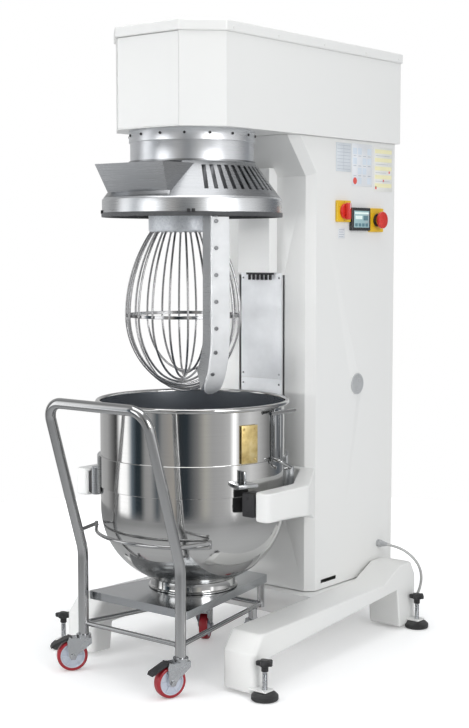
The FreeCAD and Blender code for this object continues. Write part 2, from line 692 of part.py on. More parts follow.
def whisk_loop(depth):
    """One wire in the XZ plane: down one side, across the bottom and up the other."""
    widest, middle = value("dims.whisk_radius"), value("dims.whisk_middle")
    top, rise = value("dims.wire_top"), value("dims.hub_low") - middle
    run = widest - top
    upper = (run * run + rise * rise) / (2 * run)
    bend = math.radians(47)
    blunt = (1 - math.sin(bend)) / math.cos(bend)
    lower = (depth - blunt * widest) / (math.sin(bend) - blunt * (1 - math.cos(bend)))
    tip = (widest - lower * (1 - math.cos(bend))) / math.cos(bend)

    def spot(angle, radius, centre):
        return Vector(centre[0] + radius * math.cos(angle), 0, centre[1] - radius * math.sin(angle))
    high = (widest - upper, middle)
    mid = (widest - lower, middle)
    low_centre = (0, middle - lower * math.sin(bend) + tip * math.sin(bend))
    lift = math.asin(rise / upper)
    spots = [spot(-lift, upper, high), spot(-lift / 2, upper, high), spot(0, upper, high),
             spot(bend / 2, lower, mid), spot(bend, lower, mid),
             spot((bend + math.pi / 2) / 2, tip, low_centre), spot(math.pi / 2, tip, low_centre)]
    arcs = [Part.Arc(*spots[k:k + 3]).toShape() for k in (0, 2, 4)]
    flip = [Vector(-s.x, 0, s.z) for s in reversed(spots)]
    arcs += [Part.Arc(*flip[k:k + 3]).toShape() for k in (0, 2, 4)]
    ring = Part.Wire([Part.makeCircle(value("dims.wire_radius"), spots[0], arcs[0].tangentAt(
        arcs[0].FirstParameter))])
    return Part.Wire(arcs).makePipeShell([ring], True, True)


def whisk_wires():
    """Wire loops that cross one above the other, and the band that spaces them."""
    solids = []
    count = int(value("dims.loops"))
    for k in range(count):
        loop = whisk_loop(value("dims.whisk_depth") - k * value("dims.wire_pitch"))
        loop.rotate(Vector(), UP, value("dims.loop_turn") + 180 * k / count)
        solids.append(loop)
    inner = value("dims.whisk_radius - dims.wire_radius") - 0.4
    tall = value("dims.band_tall")
    band = Part.makeCylinder(inner, tall).cut(Part.makeCylinder(inner - value("dims.gauge"), tall))
    band.translate(Vector(0, 0, value("dims.whisk_middle") - tall / 2))
    wires = Part.makeCompound(solids + [band])
    x, y = planet_point()
    wires.translate(Vector(value(x), value(y), 0))
    node(feature("wires", wires), "whisk_wires")


def curved_bar(outer, depth, width, shift, end, top):
    """A bar in the plane of the axis, straight and then bent along the bowl's bottom.

    It reaches from the outer radius inwards by its depth; shift moves it sideways.
    """
    bend = value("dims.blade_bend")
    centre = value("dims.blade_centre")
    inner = outer - depth
    angle = math.radians(end)

    def spot(radius, way):
        size = radius - centre
        return Vector(centre + size * math.cos(way), 0, bend - size * math.sin(way))
    edges = [
        Part.LineSegment(Vector(inner, 0, top), Vector(outer, 0, top)).toShape(),
        Part.LineSegment(Vector(outer, 0, top), spot(outer, 0)).toShape(),
        Part.Arc(spot(outer, 0), spot(outer, angle / 2), spot(outer, angle)).toShape(),
        Part.LineSegment(spot(outer, angle), spot(inner, angle)).toShape(),
        Part.Arc(spot(inner, angle), spot(inner, angle / 2), spot(inner, 0)).toShape(),
        Part.LineSegment(spot(inner, 0), Vector(inner, 0, top)).toShape(),
    ]
    solid = Part.Face(Part.Wire(edges)).extrude(Vector(0, width, 0))
    solid.translate(Vector(0, shift, 0))
    return solid


def to_scraper_side(shape):
    """Turns a shape made along +X to the side opposite the whisk, on the bowl's axis."""
    shape.rotate(Vector(), UP, value("dims.planet_angle") - 180)
    shape.translate(Vector(0, value("dims.bowl_y"), 0))
    return shape


def scraper():
    outer, thick = value("dims.blade_outer"), value("dims.blade_thick")
    wide, arm = value("dims.blade_width"), value("dims.arm_thick")
    left = -wide / 2
    sweep, low = value("dims.blade_sweep"), value("dims.guard_low")
    blade = curved_bar(outer, thick, wide, left, sweep, value("dims.seal_low - dims.gauge"))
    node(feature("blade", to_scraper_side(blade)), "scraper_blade")
    depth, top = value("dims.arm_depth"), value("dims.carrier_low")
    back = outer - thick - 0.05
    bar = curved_bar(back, depth, arm, left, sweep - 2, low)
    neck = Part.makeBox(back - 110, arm, 12, Vector(110, left, top - 12))
    rise = Part.makeBox(40, arm, top - low, Vector(back - 80, left, low))
    flange = Part.makeBox(60, 60, 10, Vector(110, left - 20, top - 10))
    whole = bar.fuse([neck, rise, flange]).removeSplitter()
    node(feature("arm", to_scraper_side(whole)), "scraper_arm")
    side = left + 15
    bolts = [Part.makeCylinder(5, 4, Vector(outer, side, low - 30 - 82 * k), Vector(1, 0, 0))
             for k in range(5)]
    for way in (14, 32):
        angle = math.radians(way)
        reach = Vector(math.cos(angle), 0, -math.sin(angle))
        centre = value("dims.blade_centre")
        base = reach * (outer - centre) + Vector(centre, side, value("dims.blade_bend"))
        bolts.append(Part.makeCylinder(5, 4, base, reach))
    node(feature("bolts", to_scraper_side(Part.makeCompound(bolts))), "scraper_bolts")


whisk_hub()
whisk_wires()
scraper()


# --- Guard --------------------------------------------------------------

def guard_section(inset):
    """The guard's line from the drum down to the rubber, moved in by an inset."""
    slope = f"{inset} * 1.2"
    return [(f"dims.cone_head - {inset}", "dims.drum_low + 5"),
            (f"dims.cone_head - {inset}", f"dims.drum_low - {inset} * 0.5"),
            (f"dims.cone_foot - {slope}", f"dims.cone_low - {inset} * 0.5"),
            (f"dims.guard_radius - {inset}", f"dims.guard_ring_top - {inset} * 0.5"),
            (f"dims.guard_radius - {inset}", "dims.guard_low")]


def guard():
    """The guard's cone and ring, with slots at each side and a chute at the front."""
    line = guard_section("0") + guard_section("dims.gauge")[::-1]
    cone = on_axis(turn("cone", line))
    filled = [("0", "dims.drum_low + 60"), ("dims.cone_head", "dims.drum_low + 60")]
    plug = on_axis(turn("cone_fill", filled + guard_section("0")[1:] + [("0", "dims.guard_low")]))
    slots = []
    for k in range(int(value("dims.side_slots"))):
        for hand, first in ((1, -40), (-1, 220)):
            slot = doc.addObject("Part::Box", f"vent_slot_{k}_{'r' if hand > 0 else 'l'}")
            slot.setExpression("Length", "dims.slot_length")
            slot.setExpression("Width", "dims.slot_width")
            slot.setExpression("Height", "dims.slot_tall")
            turned = Rotation(UP, first + hand * value("dims.slot_turn") * k)
            corner = turned.multVec(Vector(value("dims.slot_reach"),
                                           -value("dims.slot_width") / 2,
                                           value("dims.slot_foot")))
            slot.Placement = Placement(corner + Vector(0, value("dims.bowl_y"), 0), turned)
            slots.append(slot)
    window = box("chute_window", ("-dims.chute_low_half + dims.chute_edge",
                                  "dims.chute_low_half - dims.chute_edge"),
                 (along("-dims.chute_low_reach"), along("-dims.window_rear")),
                 ("dims.window_low", "dims.window_high"))
    shell = cut("guard_shell", cone, *slots, window)
    outer, inner = (chute_block(inset) for inset in (0, value("dims.gauge")))
    hopper = cut("chute_walls", feature("chute_form", outer.cut(inner)), plug)
    node(fuse("guard", shell, hopper), "guard_cone")


def chute_block(inset):
    """The ingredient chute as a solid: wider and further out at its top."""
    wires = []
    for end, height in (("low", value("dims.chute_low") - inset),
                        ("high", value("dims.chute_high") + inset)):
        half = value(f"dims.chute_{end}_half") - inset
        reach = value(f"dims.chute_{end}_reach") - inset
        root = value("dims.chute_root") - inset
        corners = [at(x, y, height) for x, y in
                   ((half, -reach), (half, -root), (-half, -root), (-half, -reach))]
        wires.append(Part.makePolygon(corners + corners[:1]))
    return Part.makeLoft(wires, True, True)


def guard_seal():
    node(on_axis(turn("seal", [
        ("dims.guard_radius - 8", "dims.seal_low"), ("dims.guard_radius + 1", "dims.seal_low"),
        ("dims.guard_radius + 2", "dims.seal_low + 3"),
        ("dims.guard_radius + 2", "dims.guard_low - dims.fit_gap"),
        ("dims.guard_radius - 8", "dims.guard_low - dims.fit_gap")])), "guard_seal")


def lift_housing():
    """The cover over the lift drive's top end, open at its back, and its brush strip."""
    back = along("dims.col_front - dims.fit_gap")
    slope = "(dims.col_front - dims.brace_reach) / (dims.head_under - dims.brace_foot)"
    rise = "dims.housing_high - dims.brace_foot"
    side = [(along("dims.housing_front"), "dims.housing_low"), (back, "dims.housing_low"),
            (back, "dims.brace_foot"), (f"{back} - ({rise}) * ({slope})", "dims.housing_high"),
            (along("dims.housing_front"), "dims.housing_high")]
    block = pad("housing_block", "YZ_Plane", side, "2 * dims.housing_half", both=True)
    dress(block, "Fillet", "4", upright)
    hollow = box("housing_hollow", ("-dims.housing_half + dims.gauge",
                                    "dims.housing_half - dims.gauge"),
                 (along("dims.housing_front + dims.gauge"), along("dims.col_front + 9")),
                 ("dims.housing_low + dims.gauge", "dims.brace_foot"))
    node(cut("housing", block, hollow), "lift_housing")
    y = along("dims.tuft_y")
    tufts = [rod(f"tuft_{k}", "dims.tuft_radius", "dims.housing_low - dims.tuft_drop",
                 "dims.housing_low - 4", f"dims.tuft_first + {k} * dims.tuft_pitch", y)
             for k in range(6)]
    strip = box("brush_back", ("-dims.strip_left", "dims.strip_right"),
                (f"{y} - dims.strip_half", f"{y} + dims.strip_half"),
                ("dims.housing_low - dims.strip_half", "dims.housing_low - dims.fit_gap"))
    node(fuse("brush", strip, *tufts), "housing_brush")


guard()
guard_seal()
lift_housing()


# --- Bowl lift ----------------------------------------------------------

def yoke():
    """The fork that carries the bowl: two arms on a back plate."""
    half = [
        ("dims.yoke_half", "dims.yoke_front"), ("dims.yoke_half", "dims.yoke_bend"),
        ("dims.yoke_root_half", "dims.col_front - 5")]
    inner = [
        ("dims.yoke_root_in", "dims.yoke_back"),
        ("dims.yoke_half - dims.yoke_arm", "dims.yoke_bend - 12"),
        ("dims.yoke_half - dims.yoke_arm", "dims.yoke_front")]
    plan = [(x, along(y)) for x, y in half]
    plan += [(f"-({x})", along(y)) for x, y in reversed(half)]
    plan += [(f"-({x})", along(y)) for x, y in reversed(inner)]
    plan += [(x, along(y)) for x, y in inner]
    arms = pad("yoke_plan", "XY_Plane", plan, "dims.yoke_high + 10")
    dress(arms, "Fillet", "dims.yoke_corner", upright)
    side = pad("yoke_side", "YZ_Plane", [
        (along("dims.yoke_front - 10"), "dims.yoke_low"), (along("0"), "dims.yoke_low + 5"),
        (along("dims.yoke_step"), "dims.yoke_low - 14"),
        (along("dims.col_front"), "dims.yoke_root_low"),
        (along("dims.col_front"), "dims.yoke_high"),
        (along("dims.yoke_front - 10"), "dims.yoke_high")], "1000", both=True)
    node(common("yoke_arms", arms, side), "yoke")
    pads = []
    for hand in (1, -1):
        name = "pad_right" if hand > 0 else "pad_left"
        x = sorted([f"{hand} * dims.pad_in", f"{hand} * (dims.yoke_half - dims.yoke_arm)"],
                   key=value)
        pads.append(box(name, x, (along("dims.pad_front"), along("dims.pad_rear")),
                        ("dims.yoke_low + 4", "dims.yoke_high + 3")))
    node(group("yoke_rests", *pads), "yoke_pads")


def carriage():
    """The sliding block inside the column, with webs through its two slots."""
    y = along("dims.lift_y")
    block = box("carriage_block", ("-dims.block_half", "dims.block_half"),
                (along("dims.block_front"), along("dims.block_rear")),
                ("dims.block_low", "dims.block_high"))
    webs = [box(f"web_{k}", (f"{x} - dims.web_half", f"{x} + dims.web_half"),
                (along("dims.col_front - 5"), along("dims.block_front + 1")),
                ("dims.block_low", "dims.block_high - 6"))
            for k, x in enumerate(("dims.web_x", "-dims.web_x"))]
    through = ("dims.block_low - dims.beyond", "dims.block_high + dims.beyond")
    bores = [rod(f"rod_bore_{k}", "dims.rod_radius + dims.running_gap", *through, x, y)
             for k, x in enumerate(("dims.rod_half", "-dims.rod_half"))]
    nut = rod("nut_bore", "dims.screw_radius + dims.running_gap", *through, "0", y)
    node(cut("carriage_whole", fuse("carriage_form", block, *webs), *bores, nut),
         "lift_carriage")
    rods = [rod(f"guide_{k}", "dims.rod_radius", "dims.base_top", "dims.rod_top", x, y)
            for k, x in enumerate(("dims.rod_half", "-dims.rod_half"))]
    cap = box("guide_cap", ("-dims.col_half + dims.gauge + dims.fit_gap",
                            "dims.col_half - dims.gauge - dims.fit_gap"),
              (f"{y} - dims.cap_half", f"{y} + dims.cap_half"),
              ("dims.rod_top", "dims.rod_top + 20"))
    node(fuse("guides", *rods, cap), "guide_rods")
    node(rod("lift_spindle", "dims.screw_radius", "dims.lift_motor_top + 1", "dims.rod_top - 2",
             "0", y), "lift_screw")
    can = rod("lift_can", "dims.lift_motor_radius - 8", "dims.base_top", "dims.lift_motor_top",
              "0", along("dims.lift_y + 2"))
    flange = box("lift_flange", ("-dims.flange_half", "dims.flange_half"),
                 (f"{y} - dims.flange_half", f"{y} + dims.flange_half"),
                 ("dims.lift_motor_top - 14", "dims.lift_motor_top"))
    node(fuse("lift_drive", can, flange), "lift_motor")


yoke()
carriage()


# --- Bowl ---------------------------------------------------------------

def bowl_line(inset):
    """The bowl's outer line from its rim to the axis, moved in by an inset."""
    radius, knuckle = value("dims.bowl_radius") - inset, value("dims.bowl_knuckle") - inset
    start = value("dims.bowl_straight")
    angle = math.radians(value("dims.knuckle_angle"))
    centre = radius - knuckle

    def spot(way, size, x, z):
        return Vector(x + size * math.cos(way), 0, z - size * math.sin(way))
    meet = spot(angle, knuckle, centre, start)
    dish = meet.x / math.cos(angle)
    dish_z = meet.z + dish * math.sin(angle)
    top = Vector(radius, 0, value("dims.bowl_top"))
    straight_end = Vector(radius, 0, start)
    lowest = Vector(0, 0, dish_z - dish)
    edges = [
        Part.LineSegment(top, straight_end).toShape(),
        Part.Arc(straight_end, spot(angle / 2, knuckle, centre, start), meet).toShape(),
        Part.Arc(meet, spot((angle + math.pi / 2) / 2, dish, 0, dish_z), lowest).toShape(),
    ]
    return edges, top, lowest


def bowl_solid(inset):
    edges, top, lowest = bowl_line(inset)
    axis_top = Vector(0, 0, top.z)
    edges += [Part.LineSegment(lowest, axis_top).toShape(), Part.LineSegment(axis_top, top).toShape()]
    solid = Part.Face(Part.Wire(edges)).revolve(Vector(), UP, 360)
    solid.translate(Vector(0, value("dims.bowl_y"), 0))
    return solid


def bowl_shell():
    node(feature("bowl", bowl_solid(0).cut(bowl_solid(value("dims.bowl_wall")))), "bowl_shell")


def around(shape, angle):
    """Turns a shape made along +X about the bowl's axis and stands it there."""
    shape.rotate(Vector(), UP, angle)
    shape.translate(Vector(0, value("dims.bowl_y"), 0))
    return shape


def ring_part(inner, outer, low, high, half_angle=180):
    """A ring, or an arc of one centred on +X, about the Z axis."""
    shape = Part.makeCylinder(outer, high - low, Vector(0, 0, low), UP, 2 * half_angle)
    shape = shape.cut(Part.makeCylinder(inner, high - low + 2, Vector(0, 0, low - 1)))
    shape.rotate(Vector(), UP, -half_angle)
    return shape


def bowl_fittings():
    """The rolled rim, the band, the foot ring and what is welded to the bowl's sides."""
    wall = value("dims.bowl_radius")
    outer = wall + 0.05
    rim = Part.makeTorus(outer + value("dims.rim_radius"), value("dims.rim_radius"),
                         Vector(0, 0, value("dims.bowl_top")))
    band_out = wall + value("dims.band_thick")
    band = ring_part(outer, band_out, value("dims.band_low"), value("dims.band_high"))
    foot_out = value("dims.foot_radius")
    foot = ring_part(foot_out - 4, foot_out, value("dims.foot_low"), value("dims.foot_high"))
    flare = ring_part(foot_out - 4, foot_out + value("dims.foot_flare"), value("dims.foot_low"),
                      value("dims.foot_low") + 5)
    foot = foot.fuse(flare)
    pieces = [around(rim, 0), around(band, 0),
              around(foot, 0).cut(bowl_solid(-0.3))]
    for side in (0, 180):
        pieces += [around(piece, side + angle) for piece, angle in side_fittings(band_out)]
    whole = pieces[1].fuse(pieces[3:])
    node(feature("fittings", Part.makeCompound([pieces[0], pieces[2], whole])), "bowl_fittings")


def side_fittings(band_out):
    """Lug, lifting shelf and handle of one side, each with the angle it stands at."""
    low, high = value("dims.lug_low"), value("dims.lug_high")
    lug_angle = value("dims.lug_angle")
    plate = ring_part(band_out - 0.5, band_out + 7, low + 14, value("dims.band_high") - 2,
                      value("dims.lug_half_angle"))
    boss = Part.makeCylinder(value("dims.lug_boss"), high - low, Vector(band_out + 12, 0, low))
    shelf_low, root = value("dims.shelf_low"), value("dims.bowl_radius") + 0.5
    shelf_out, wide = value("dims.shelf_out"), value("dims.shelf_wide")
    shelf = Part.makeBox(shelf_out - root, wide, value("dims.shelf_thick"),
                         Vector(root, -wide / 2, shelf_low))
    thick = value("dims.gusset_thick")
    gusset = Part.makeBox(shelf_out - root - 20, thick, value("dims.gusset_tall"),
                          Vector(root, -thick / 2, shelf_low + 10))
    stay = (6, value("dims.stay_wide"), value("dims.stay_tall"))
    starts = [value("dims.stay_first"), value("dims.stay_second")]
    stays = [Part.makeBox(*stay, Vector(band_out - 0.5, y, value("dims.stay_low")))
             for y in starts]
    grip_z, size = value("dims.grip_z"), 2 * value("dims.grip_radius")
    upper = Part.makeCylinder(size / 2, value("dims.grip_length"),
                              Vector(band_out + 14, 0, grip_z), Vector(0, 1, 0))
    feet = [Part.makeBox(20, size, size, Vector(band_out - 2, y + 2, grip_z - size / 2))
            for y in starts]
    shelf_way = value("dims.shelf_angle")
    pins = [(stay, 0) for stay in stays] + [(upper, 0)] + [(foot, 0) for foot in feet]
    return [(plate, lug_angle), (boss, lug_angle), (shelf, shelf_way), (gusset, shelf_way), *pins]


def wear_plates():
    plates = []
    for side in (0, 180):
        plate = Part.makeBox(value("dims.wear_thick"), value("dims.wear_width"),
                             value("dims.wear_high - dims.wear_low"),
                             Vector(value("dims.bowl_radius") + 0.3,
                                    -value("dims.wear_width") / 2, value("dims.wear_low") + 6))
        plates.append(around(plate, side + value("dims.wear_angle")))
    node(feature("plates", Part.makeCompound(plates)), "bowl_wear_plates")


bowl_shell()
bowl_fittings()
wear_plates()


# --- Trolley ------------------------------------------------------------

def trolley_handle():
    """The bent tube that is both front posts and the push handle, with the bowl hoop."""
    half, post, top = "dims.post_half", "dims.post_y", "dims.handle_top"
    points = [at(half, post, "dims.post_low"), at(half, post, "dims.lean_low"),
              at(half, "dims.handle_y", top)]
    points += [Vector(-p.x, p.y, p.z) for p in reversed(points)]
    bends = [value(f"dims.{k}_bend") for k in ("post", "handle", "handle", "post")]
    outer = value("dims.tube_radius")
    bar = tube(points, bends, outer, outer - value("dims.tube_wall"))
    radius, height, thick = (value(f"dims.{k}") for k in ("hoop_radius", "hoop_z", "hoop_rod"))
    centre = Vector(0, value("dims.bowl_y"), height)
    ends = [math.radians(a) for a in (-140, -90, -40)]
    spots = [centre + Vector(radius * math.cos(a), radius * math.sin(a), 0) for a in ends]
    arc = Part.Wire([Part.Arc(*spots).toShape()])
    way = Vector(-math.sin(ends[0]), math.cos(ends[0]), 0)
    hoop = arc.makePipeShell([Part.Wire([Part.makeCircle(thick, spots[0], way)])], True, True)
    stubs = []
    for spot in (spots[0], spots[2]):
        side = 1 if spot.x > 0 else -1
        rise = value("dims.stub_rise")
        post_spot = Vector(side * value(half), value(along(post)) - rise, height + rise)
        end = spot + Vector(0, 0, rise)
        reach = end - post_spot
        stubs.append(Part.makeCylinder(thick, reach.Length, post_spot, reach))
        stubs.append(Part.makeCylinder(thick, 26, spot - Vector(0, 0, 4), UP))
    bore = tube(points, bends, outer - value("dims.tube_wall"))
    whole = bar.fuse([hoop, *stubs]).cut(bore)
    node(feature("handle", whole), "trolley_handle")


def bar(start, end, radius):
    way = end - start
    return Part.makeCylinder(radius, way.Length, start, way)


def trolley_rails():
    """The low frame: rails between the posts, rear posts and the castor plates."""
    radius, height = value("dims.rail_radius"), "dims.rail_z"
    posts = []
    for hand in (1, -1):
        front = at(f"{hand} * dims.post_half", "dims.post_y", height)
        rear = at(f"{hand} * dims.rear_half", "dims.rear_post_y", height)
        foot = Vector(rear.x, rear.y, value(height) - 12)
        head = Vector(rear.x, rear.y, value("dims.platform_top - dims.gauge"))
        way = (rear - front).normalize()
        start = front + way * (value("dims.tube_radius") + 0.1)
        posts += [bar(start, rear, radius), bar(foot, head, value("dims.rear_post_radius"))]
        castor = at(f"{hand} * dims.rear_castor_half", "dims.rear_castor_y", "dims.castor_top")
        stem = Part.makeCylinder(value("dims.stem_radius"),
                                 value("dims.rail_z - dims.castor_top"),
                                 castor + Vector(hand * 2, 0, 0.3))
        posts.append(stem)
    gap = value("dims.tube_radius") + 0.1
    front_rail = bar(at("dims.post_half", "dims.post_y", height) - Vector(gap, 0, 0),
                     at("-dims.post_half", "dims.post_y", height) + Vector(gap, 0, 0), radius)
    rear_rail = bar(at("dims.rear_half", "dims.rear_post_y", height),
                    at("-dims.rear_half", "dims.rear_post_y", height), radius)
    frame = Part.makeCompound([front_rail, rear_rail.fuse(posts)])
    node(feature("rails", frame), "trolley_rails")


def trolley_platform():
    """A shallow sheet tray, upside down, narrower at the rear."""
    def plan(inset):
        front = f"dims.platform_front + {inset}"
        rear = f"dims.rear_post_y + dims.tray_rear - {inset}"
        wide = f"dims.post_half + dims.tray_side - {inset}"
        slim = f"dims.rear_half + dims.tray_rear - {inset}"
        return [(f"-({wide})", along(front)), (wide, along(front)), (slim, along(rear)),
                (f"-({slim})", along(rear))]
    outer = pad("tray_out", "XY_Plane", plan("0"), "dims.platform_lip")
    dress(outer, "Fillet", "8", upright)
    move(outer, "0", "0", "dims.platform_top - dims.platform_lip")
    inner = pad("tray_in", "XY_Plane", plan("dims.gauge"), "dims.platform_lip")
    move(inner, "0", "0", "dims.platform_top - dims.platform_lip - dims.gauge")
    node(cut("tray", outer, inner), "trolley_platform")


CASTORS = [
    ("front_right", ("dims.post_half", "dims.post_y"), -109, True),
    ("front_left", ("-dims.post_half", "dims.post_y"), -128, True),
    ("rear_right", ("dims.rear_castor_half", "dims.rear_castor_y"), 110, False),
    ("rear_left", ("-dims.rear_castor_half", "dims.rear_castor_y"), 118, False),
]


def stand_castor(shape, spot, heading):
    """Turns a piece made with its trail along +X and stands it under its post."""
    shape.rotate(Vector(), UP, heading)
    shape.translate(at(spot[0], spot[1], 0))
    return shape


def castor_fork():
    """Top plate, swivel head, two cheeks and the axle."""
    top, wheel = value("dims.castor_top"), value("dims.wheel_radius")
    gap, sheet_, trail = (value(f"dims.{k}") for k in ("fork_gap", "fork_sheet", "castor_trail"))
    head = Part.makeCylinder(24, 10, Vector(0, 0, top - 10))
    crown = Part.makeBox(62, gap + 2 * sheet_, sheet_, Vector(-24, -gap / 2 - sheet_, top - 13))
    cheeks = []
    for y in (-gap / 2 - sheet_, gap / 2):
        corners = [Vector(-24, y, top - 10), Vector(38, y, top - 10),
                   Vector(50, y, top - 5), Vector(56, y, top - 20),
                   Vector(trail + 13, y, wheel), Vector(trail + 6, y, wheel - 11),
                   Vector(trail - 8, y, wheel - 11), Vector(trail - 15, y, wheel + 4),
                   Vector(-24, y, top - 28)]
        face = Part.Face(Part.makePolygon(corners + corners[:1]))
        cheeks.append(face.extrude(Vector(0, sheet_, 0)))
    half = gap / 2 + sheet_
    axle = Part.makeCylinder(value("dims.axle_radius"), 2 * half + 6,
                             Vector(trail, -half - 3, wheel), Vector(0, 1, 0))
    pivot = Vector(value("dims.pedal_reach"), -half, value("dims.castor_top - dims.pedal_drop"))
    pin = Part.makeCylinder(value("dims.pin_radius"), 2 * half, pivot, Vector(0, 1, 0))
    return head.fuse([crown, axle, pin, *cheeks])


def castor_wheel():
    """A tyre on a hub with a bore for the axle."""
    radius, width, trail = (value(f"dims.{k}") for k in ("wheel_radius", "wheel_width",
                                                         "castor_trail"))
    tread = Part.makeCylinder(radius, width, Vector(trail, -width / 2, radius), Vector(0, 1, 0))
    tread = tread.makeFillet(5, [e for e in tread.Edges if e.Length > 6 * radius - 1e-3])
    hub = Part.makeCylinder(14, width + 6, Vector(trail, -width / 2 - 3, radius), Vector(0, 1, 0))
    bore = Part.makeCylinder(value("dims.axle_radius + dims.running_gap"), width + 20,
                             Vector(trail, -width / 2 - 10, radius), Vector(0, 1, 0))
    dishes = [Part.makeCone(34, 30, 7, Vector(trail, side * width / 2, radius),
                            Vector(0, -side, 0)) for side in (1, -1)]
    rim = tread.cut(dishes[0]).cut(dishes[1])
    return rim.fuse(hub).cut(bore)


def brake_pedal():
    """A lever over the wheel, on a pin between the fork's cheeks."""
    top = value("dims.castor_top")
    corners = [Vector(40, 0, top - 7), Vector(58, 0, top - 8), Vector(104, 0, top - 30),
               Vector(108, 0, top - 40), Vector(98, 0, top - 36), Vector(60, 0, top - 17),
               Vector(40, 0, top - 17)]
    arm = Part.Face(Part.makePolygon(corners + corners[:1])).extrude(Vector(0, 34, 0))
    arm.translate(Vector(0, -17, 0))
    pivot = Vector(value("dims.pedal_reach"), -20, value("dims.castor_top - dims.pedal_drop"))
    return arm.cut(Part.makeCylinder(value("dims.pin_radius + dims.running_gap"), 40, pivot,
                                     Vector(0, 1, 0)))


for name, spot, heading, braked in CASTORS:
    node(feature("fork_" + name, stand_castor(castor_fork(), spot, heading)),
         "castor_fork_" + name)
    node(feature("wheel_" + name, stand_castor(castor_wheel(), spot, heading)),
         "castor_wheel_" + name)
    if braked:
        node(feature("pedal_" + name, stand_castor(brake_pedal(), spot, heading)),
             "brake_pedal_" + name)

trolley_handle()
trolley_rails()
trolley_platform()


# --- Controls on the column's right side --------------------------------

def side_plate(name, y, z, long, tall, thick):
    """A rounded plate standing on the column's right side."""
    plate = pad(name, "YZ_Plane", [
        (f"-({long}) / 2", f"-({tall}) / 2"), (f"({long}) / 2", f"-({tall}) / 2"),
        (f"({long}) / 2", f"({tall}) / 2"), (f"-({long}) / 2", f"({tall}) / 2")], thick)
    dress(plate, "Fillet", "4", lambda edge: edge.BoundBox.YLength < 1e-6
          and edge.BoundBox.ZLength < 1e-6)
    return move(plate, "dims.col_half + dims.fit_gap", along(y), z)


def controls():
    thick = "dims.plate_thick"
    face = f"dims.col_half + dims.fit_gap + {thick}"
    switch = side_plate("switch_plate", "dims.switch_y", "dims.switch_z",
                        "dims.switch_long", "dims.switch_tall", thick)
    stop = side_plate("stop_plate", "dims.stop_y", "dims.stop_z", "dims.stop_long",
                      "dims.stop_tall", thick)
    node(group("yellow_plates", switch, stop), "switch_plates")
    node(side_plate("touch_screen", "dims.screen_y", "dims.screen_z", "dims.screen_long",
                    "dims.screen_tall", "dims.screen_thick"), "control_screen")
    grip_x = (f"{face} + 8", f"{face} + 26")
    skirt = side_rod("knob_skirt", "dims.skirt_radius", (f"{face} + dims.fit_gap", f"{face} + 9"),
                     along("dims.switch_y"), "dims.switch_z")
    grip = box("knob_grip", grip_x, (along("dims.switch_y - dims.grip_half"),
                                     along("dims.switch_y + dims.grip_half")),
               ("dims.switch_z - dims.grip_tall", "dims.switch_z + dims.grip_tall"))
    node(fuse("rotary", skirt, grip), "switch_knob")
    stem = side_rod("stop_stem", "dims.stem_half", (f"{face} + 7", f"{face} + 20"), along("dims.stop_y"),
                    "dims.stop_z")
    cap = side_rod("stop_cap", "dims.button_radius", (f"{face} + 18", f"{face} + 32"),
                   along("dims.stop_y"), "dims.stop_z")
    node(fuse("mushroom", stem, cap), "emergency_button")


def cable():
    """Gland, mains cable, its coil behind the machine and an industrial plug."""
    y, z, wall = along("dims.gland_y"), "dims.gland_z", "dims.col_half"
    body = side_rod("gland_nut", "14", (f"{wall} + dims.fit_gap", f"{wall} + 12"), y, z)
    tail = doc.addObject("Part::Cone", "gland_tail")
    tail.Radius1, tail.Radius2, tail.Height = 12, 6, 30
    tail.Placement = Placement(Vector(), Rotation(Vector(0, 1, 0), 90))
    move(tail, f"{wall} + 11.9", y, z)
    node(fuse("gland", body, tail), "cable_gland")
    exit_x = value(f"{wall} + 41.9")
    radius = value("dims.cord_radius")
    start = at(exit_x, "dims.gland_y", z)
    route = [start] + [at(*p) for p in CORD_ROUTE]
    radii = []
    for before, corner, after in zip(route, route[1:], route[2:]):
        into, out = corner - before, after - corner
        half = into.getAngle(out) / 2
        radii.append(0.45 * min(into.Length, out.Length) / math.tan(half))
    print("cord radii", [round(r) for r in radii], "runs",
          [round((b - a).Length) for a, b in zip(route, route[1:])])
    cord = tube(route, radii, radius)
    length = tube_path(route, radii).Length
    print("cord length", round(length), "volume ratio",
          round(cord.Volume / (math.pi * radius ** 2 * length), 4))
    centre = at("dims.coil_x", "dims.coil_y", 0)
    tail_start = centre + Vector(*(value(f"dims.tail_{k}") for k in "xyz"))
    tail = tube([tail_start, tail_start + Vector(14, 0, 0), tail_start + Vector(44, 0, -12)],
                [20], radius)
    node(feature("cord", Part.makeCompound([cord, tail])), "cord_tube")
    mid, half, height = (value(f"dims.coil_{k}") for k in ("radius", "half", "height"))
    coil = Part.makeCylinder(mid + half, height, centre + Vector(0, 0, 0.2))
    coil = coil.cut(Part.makeCylinder(mid - half, height + 2, centre - Vector(0, 0, 1)))
    node(feature("coil", coil), "cord_coil")
    node(feature("plug", plug(tail_start + Vector(value("dims.plug_x"), 0, 0))), "cord_plug")


def plug(rest):
    """An industrial plug lying along X: neck, grip, open collar and round pins."""
    along_x = Vector(1, 0, 0)
    grip, long, cup = (value(f"dims.plug_{k}") for k in ("grip", "long", "cup"))
    well, circle = value("dims.plug_well"), value("dims.pin_circle")
    handle = Part.makeCylinder(grip, long, rest, along_x)
    collar = Part.makeCylinder(value("dims.plug_collar"), cup, rest - Vector(cup - 2, 0, 0),
                               along_x)
    neck = Part.makeCone(18, 7, 28, rest + Vector(long, 0, 0), along_x)
    hollow = Part.makeCylinder(well, cup - 6, rest - Vector(cup - 1, 0, 0), along_x)
    pins = []
    for k in range(4):
        way = math.pi / 2 * k
        spot = Vector(6 - cup, circle * math.cos(way), circle * math.sin(way))
        pins.append(Part.makeCylinder(3, 30, rest + spot, along_x))
    return handle.fuse([collar, neck]).cut(hollow).fuse(pins)


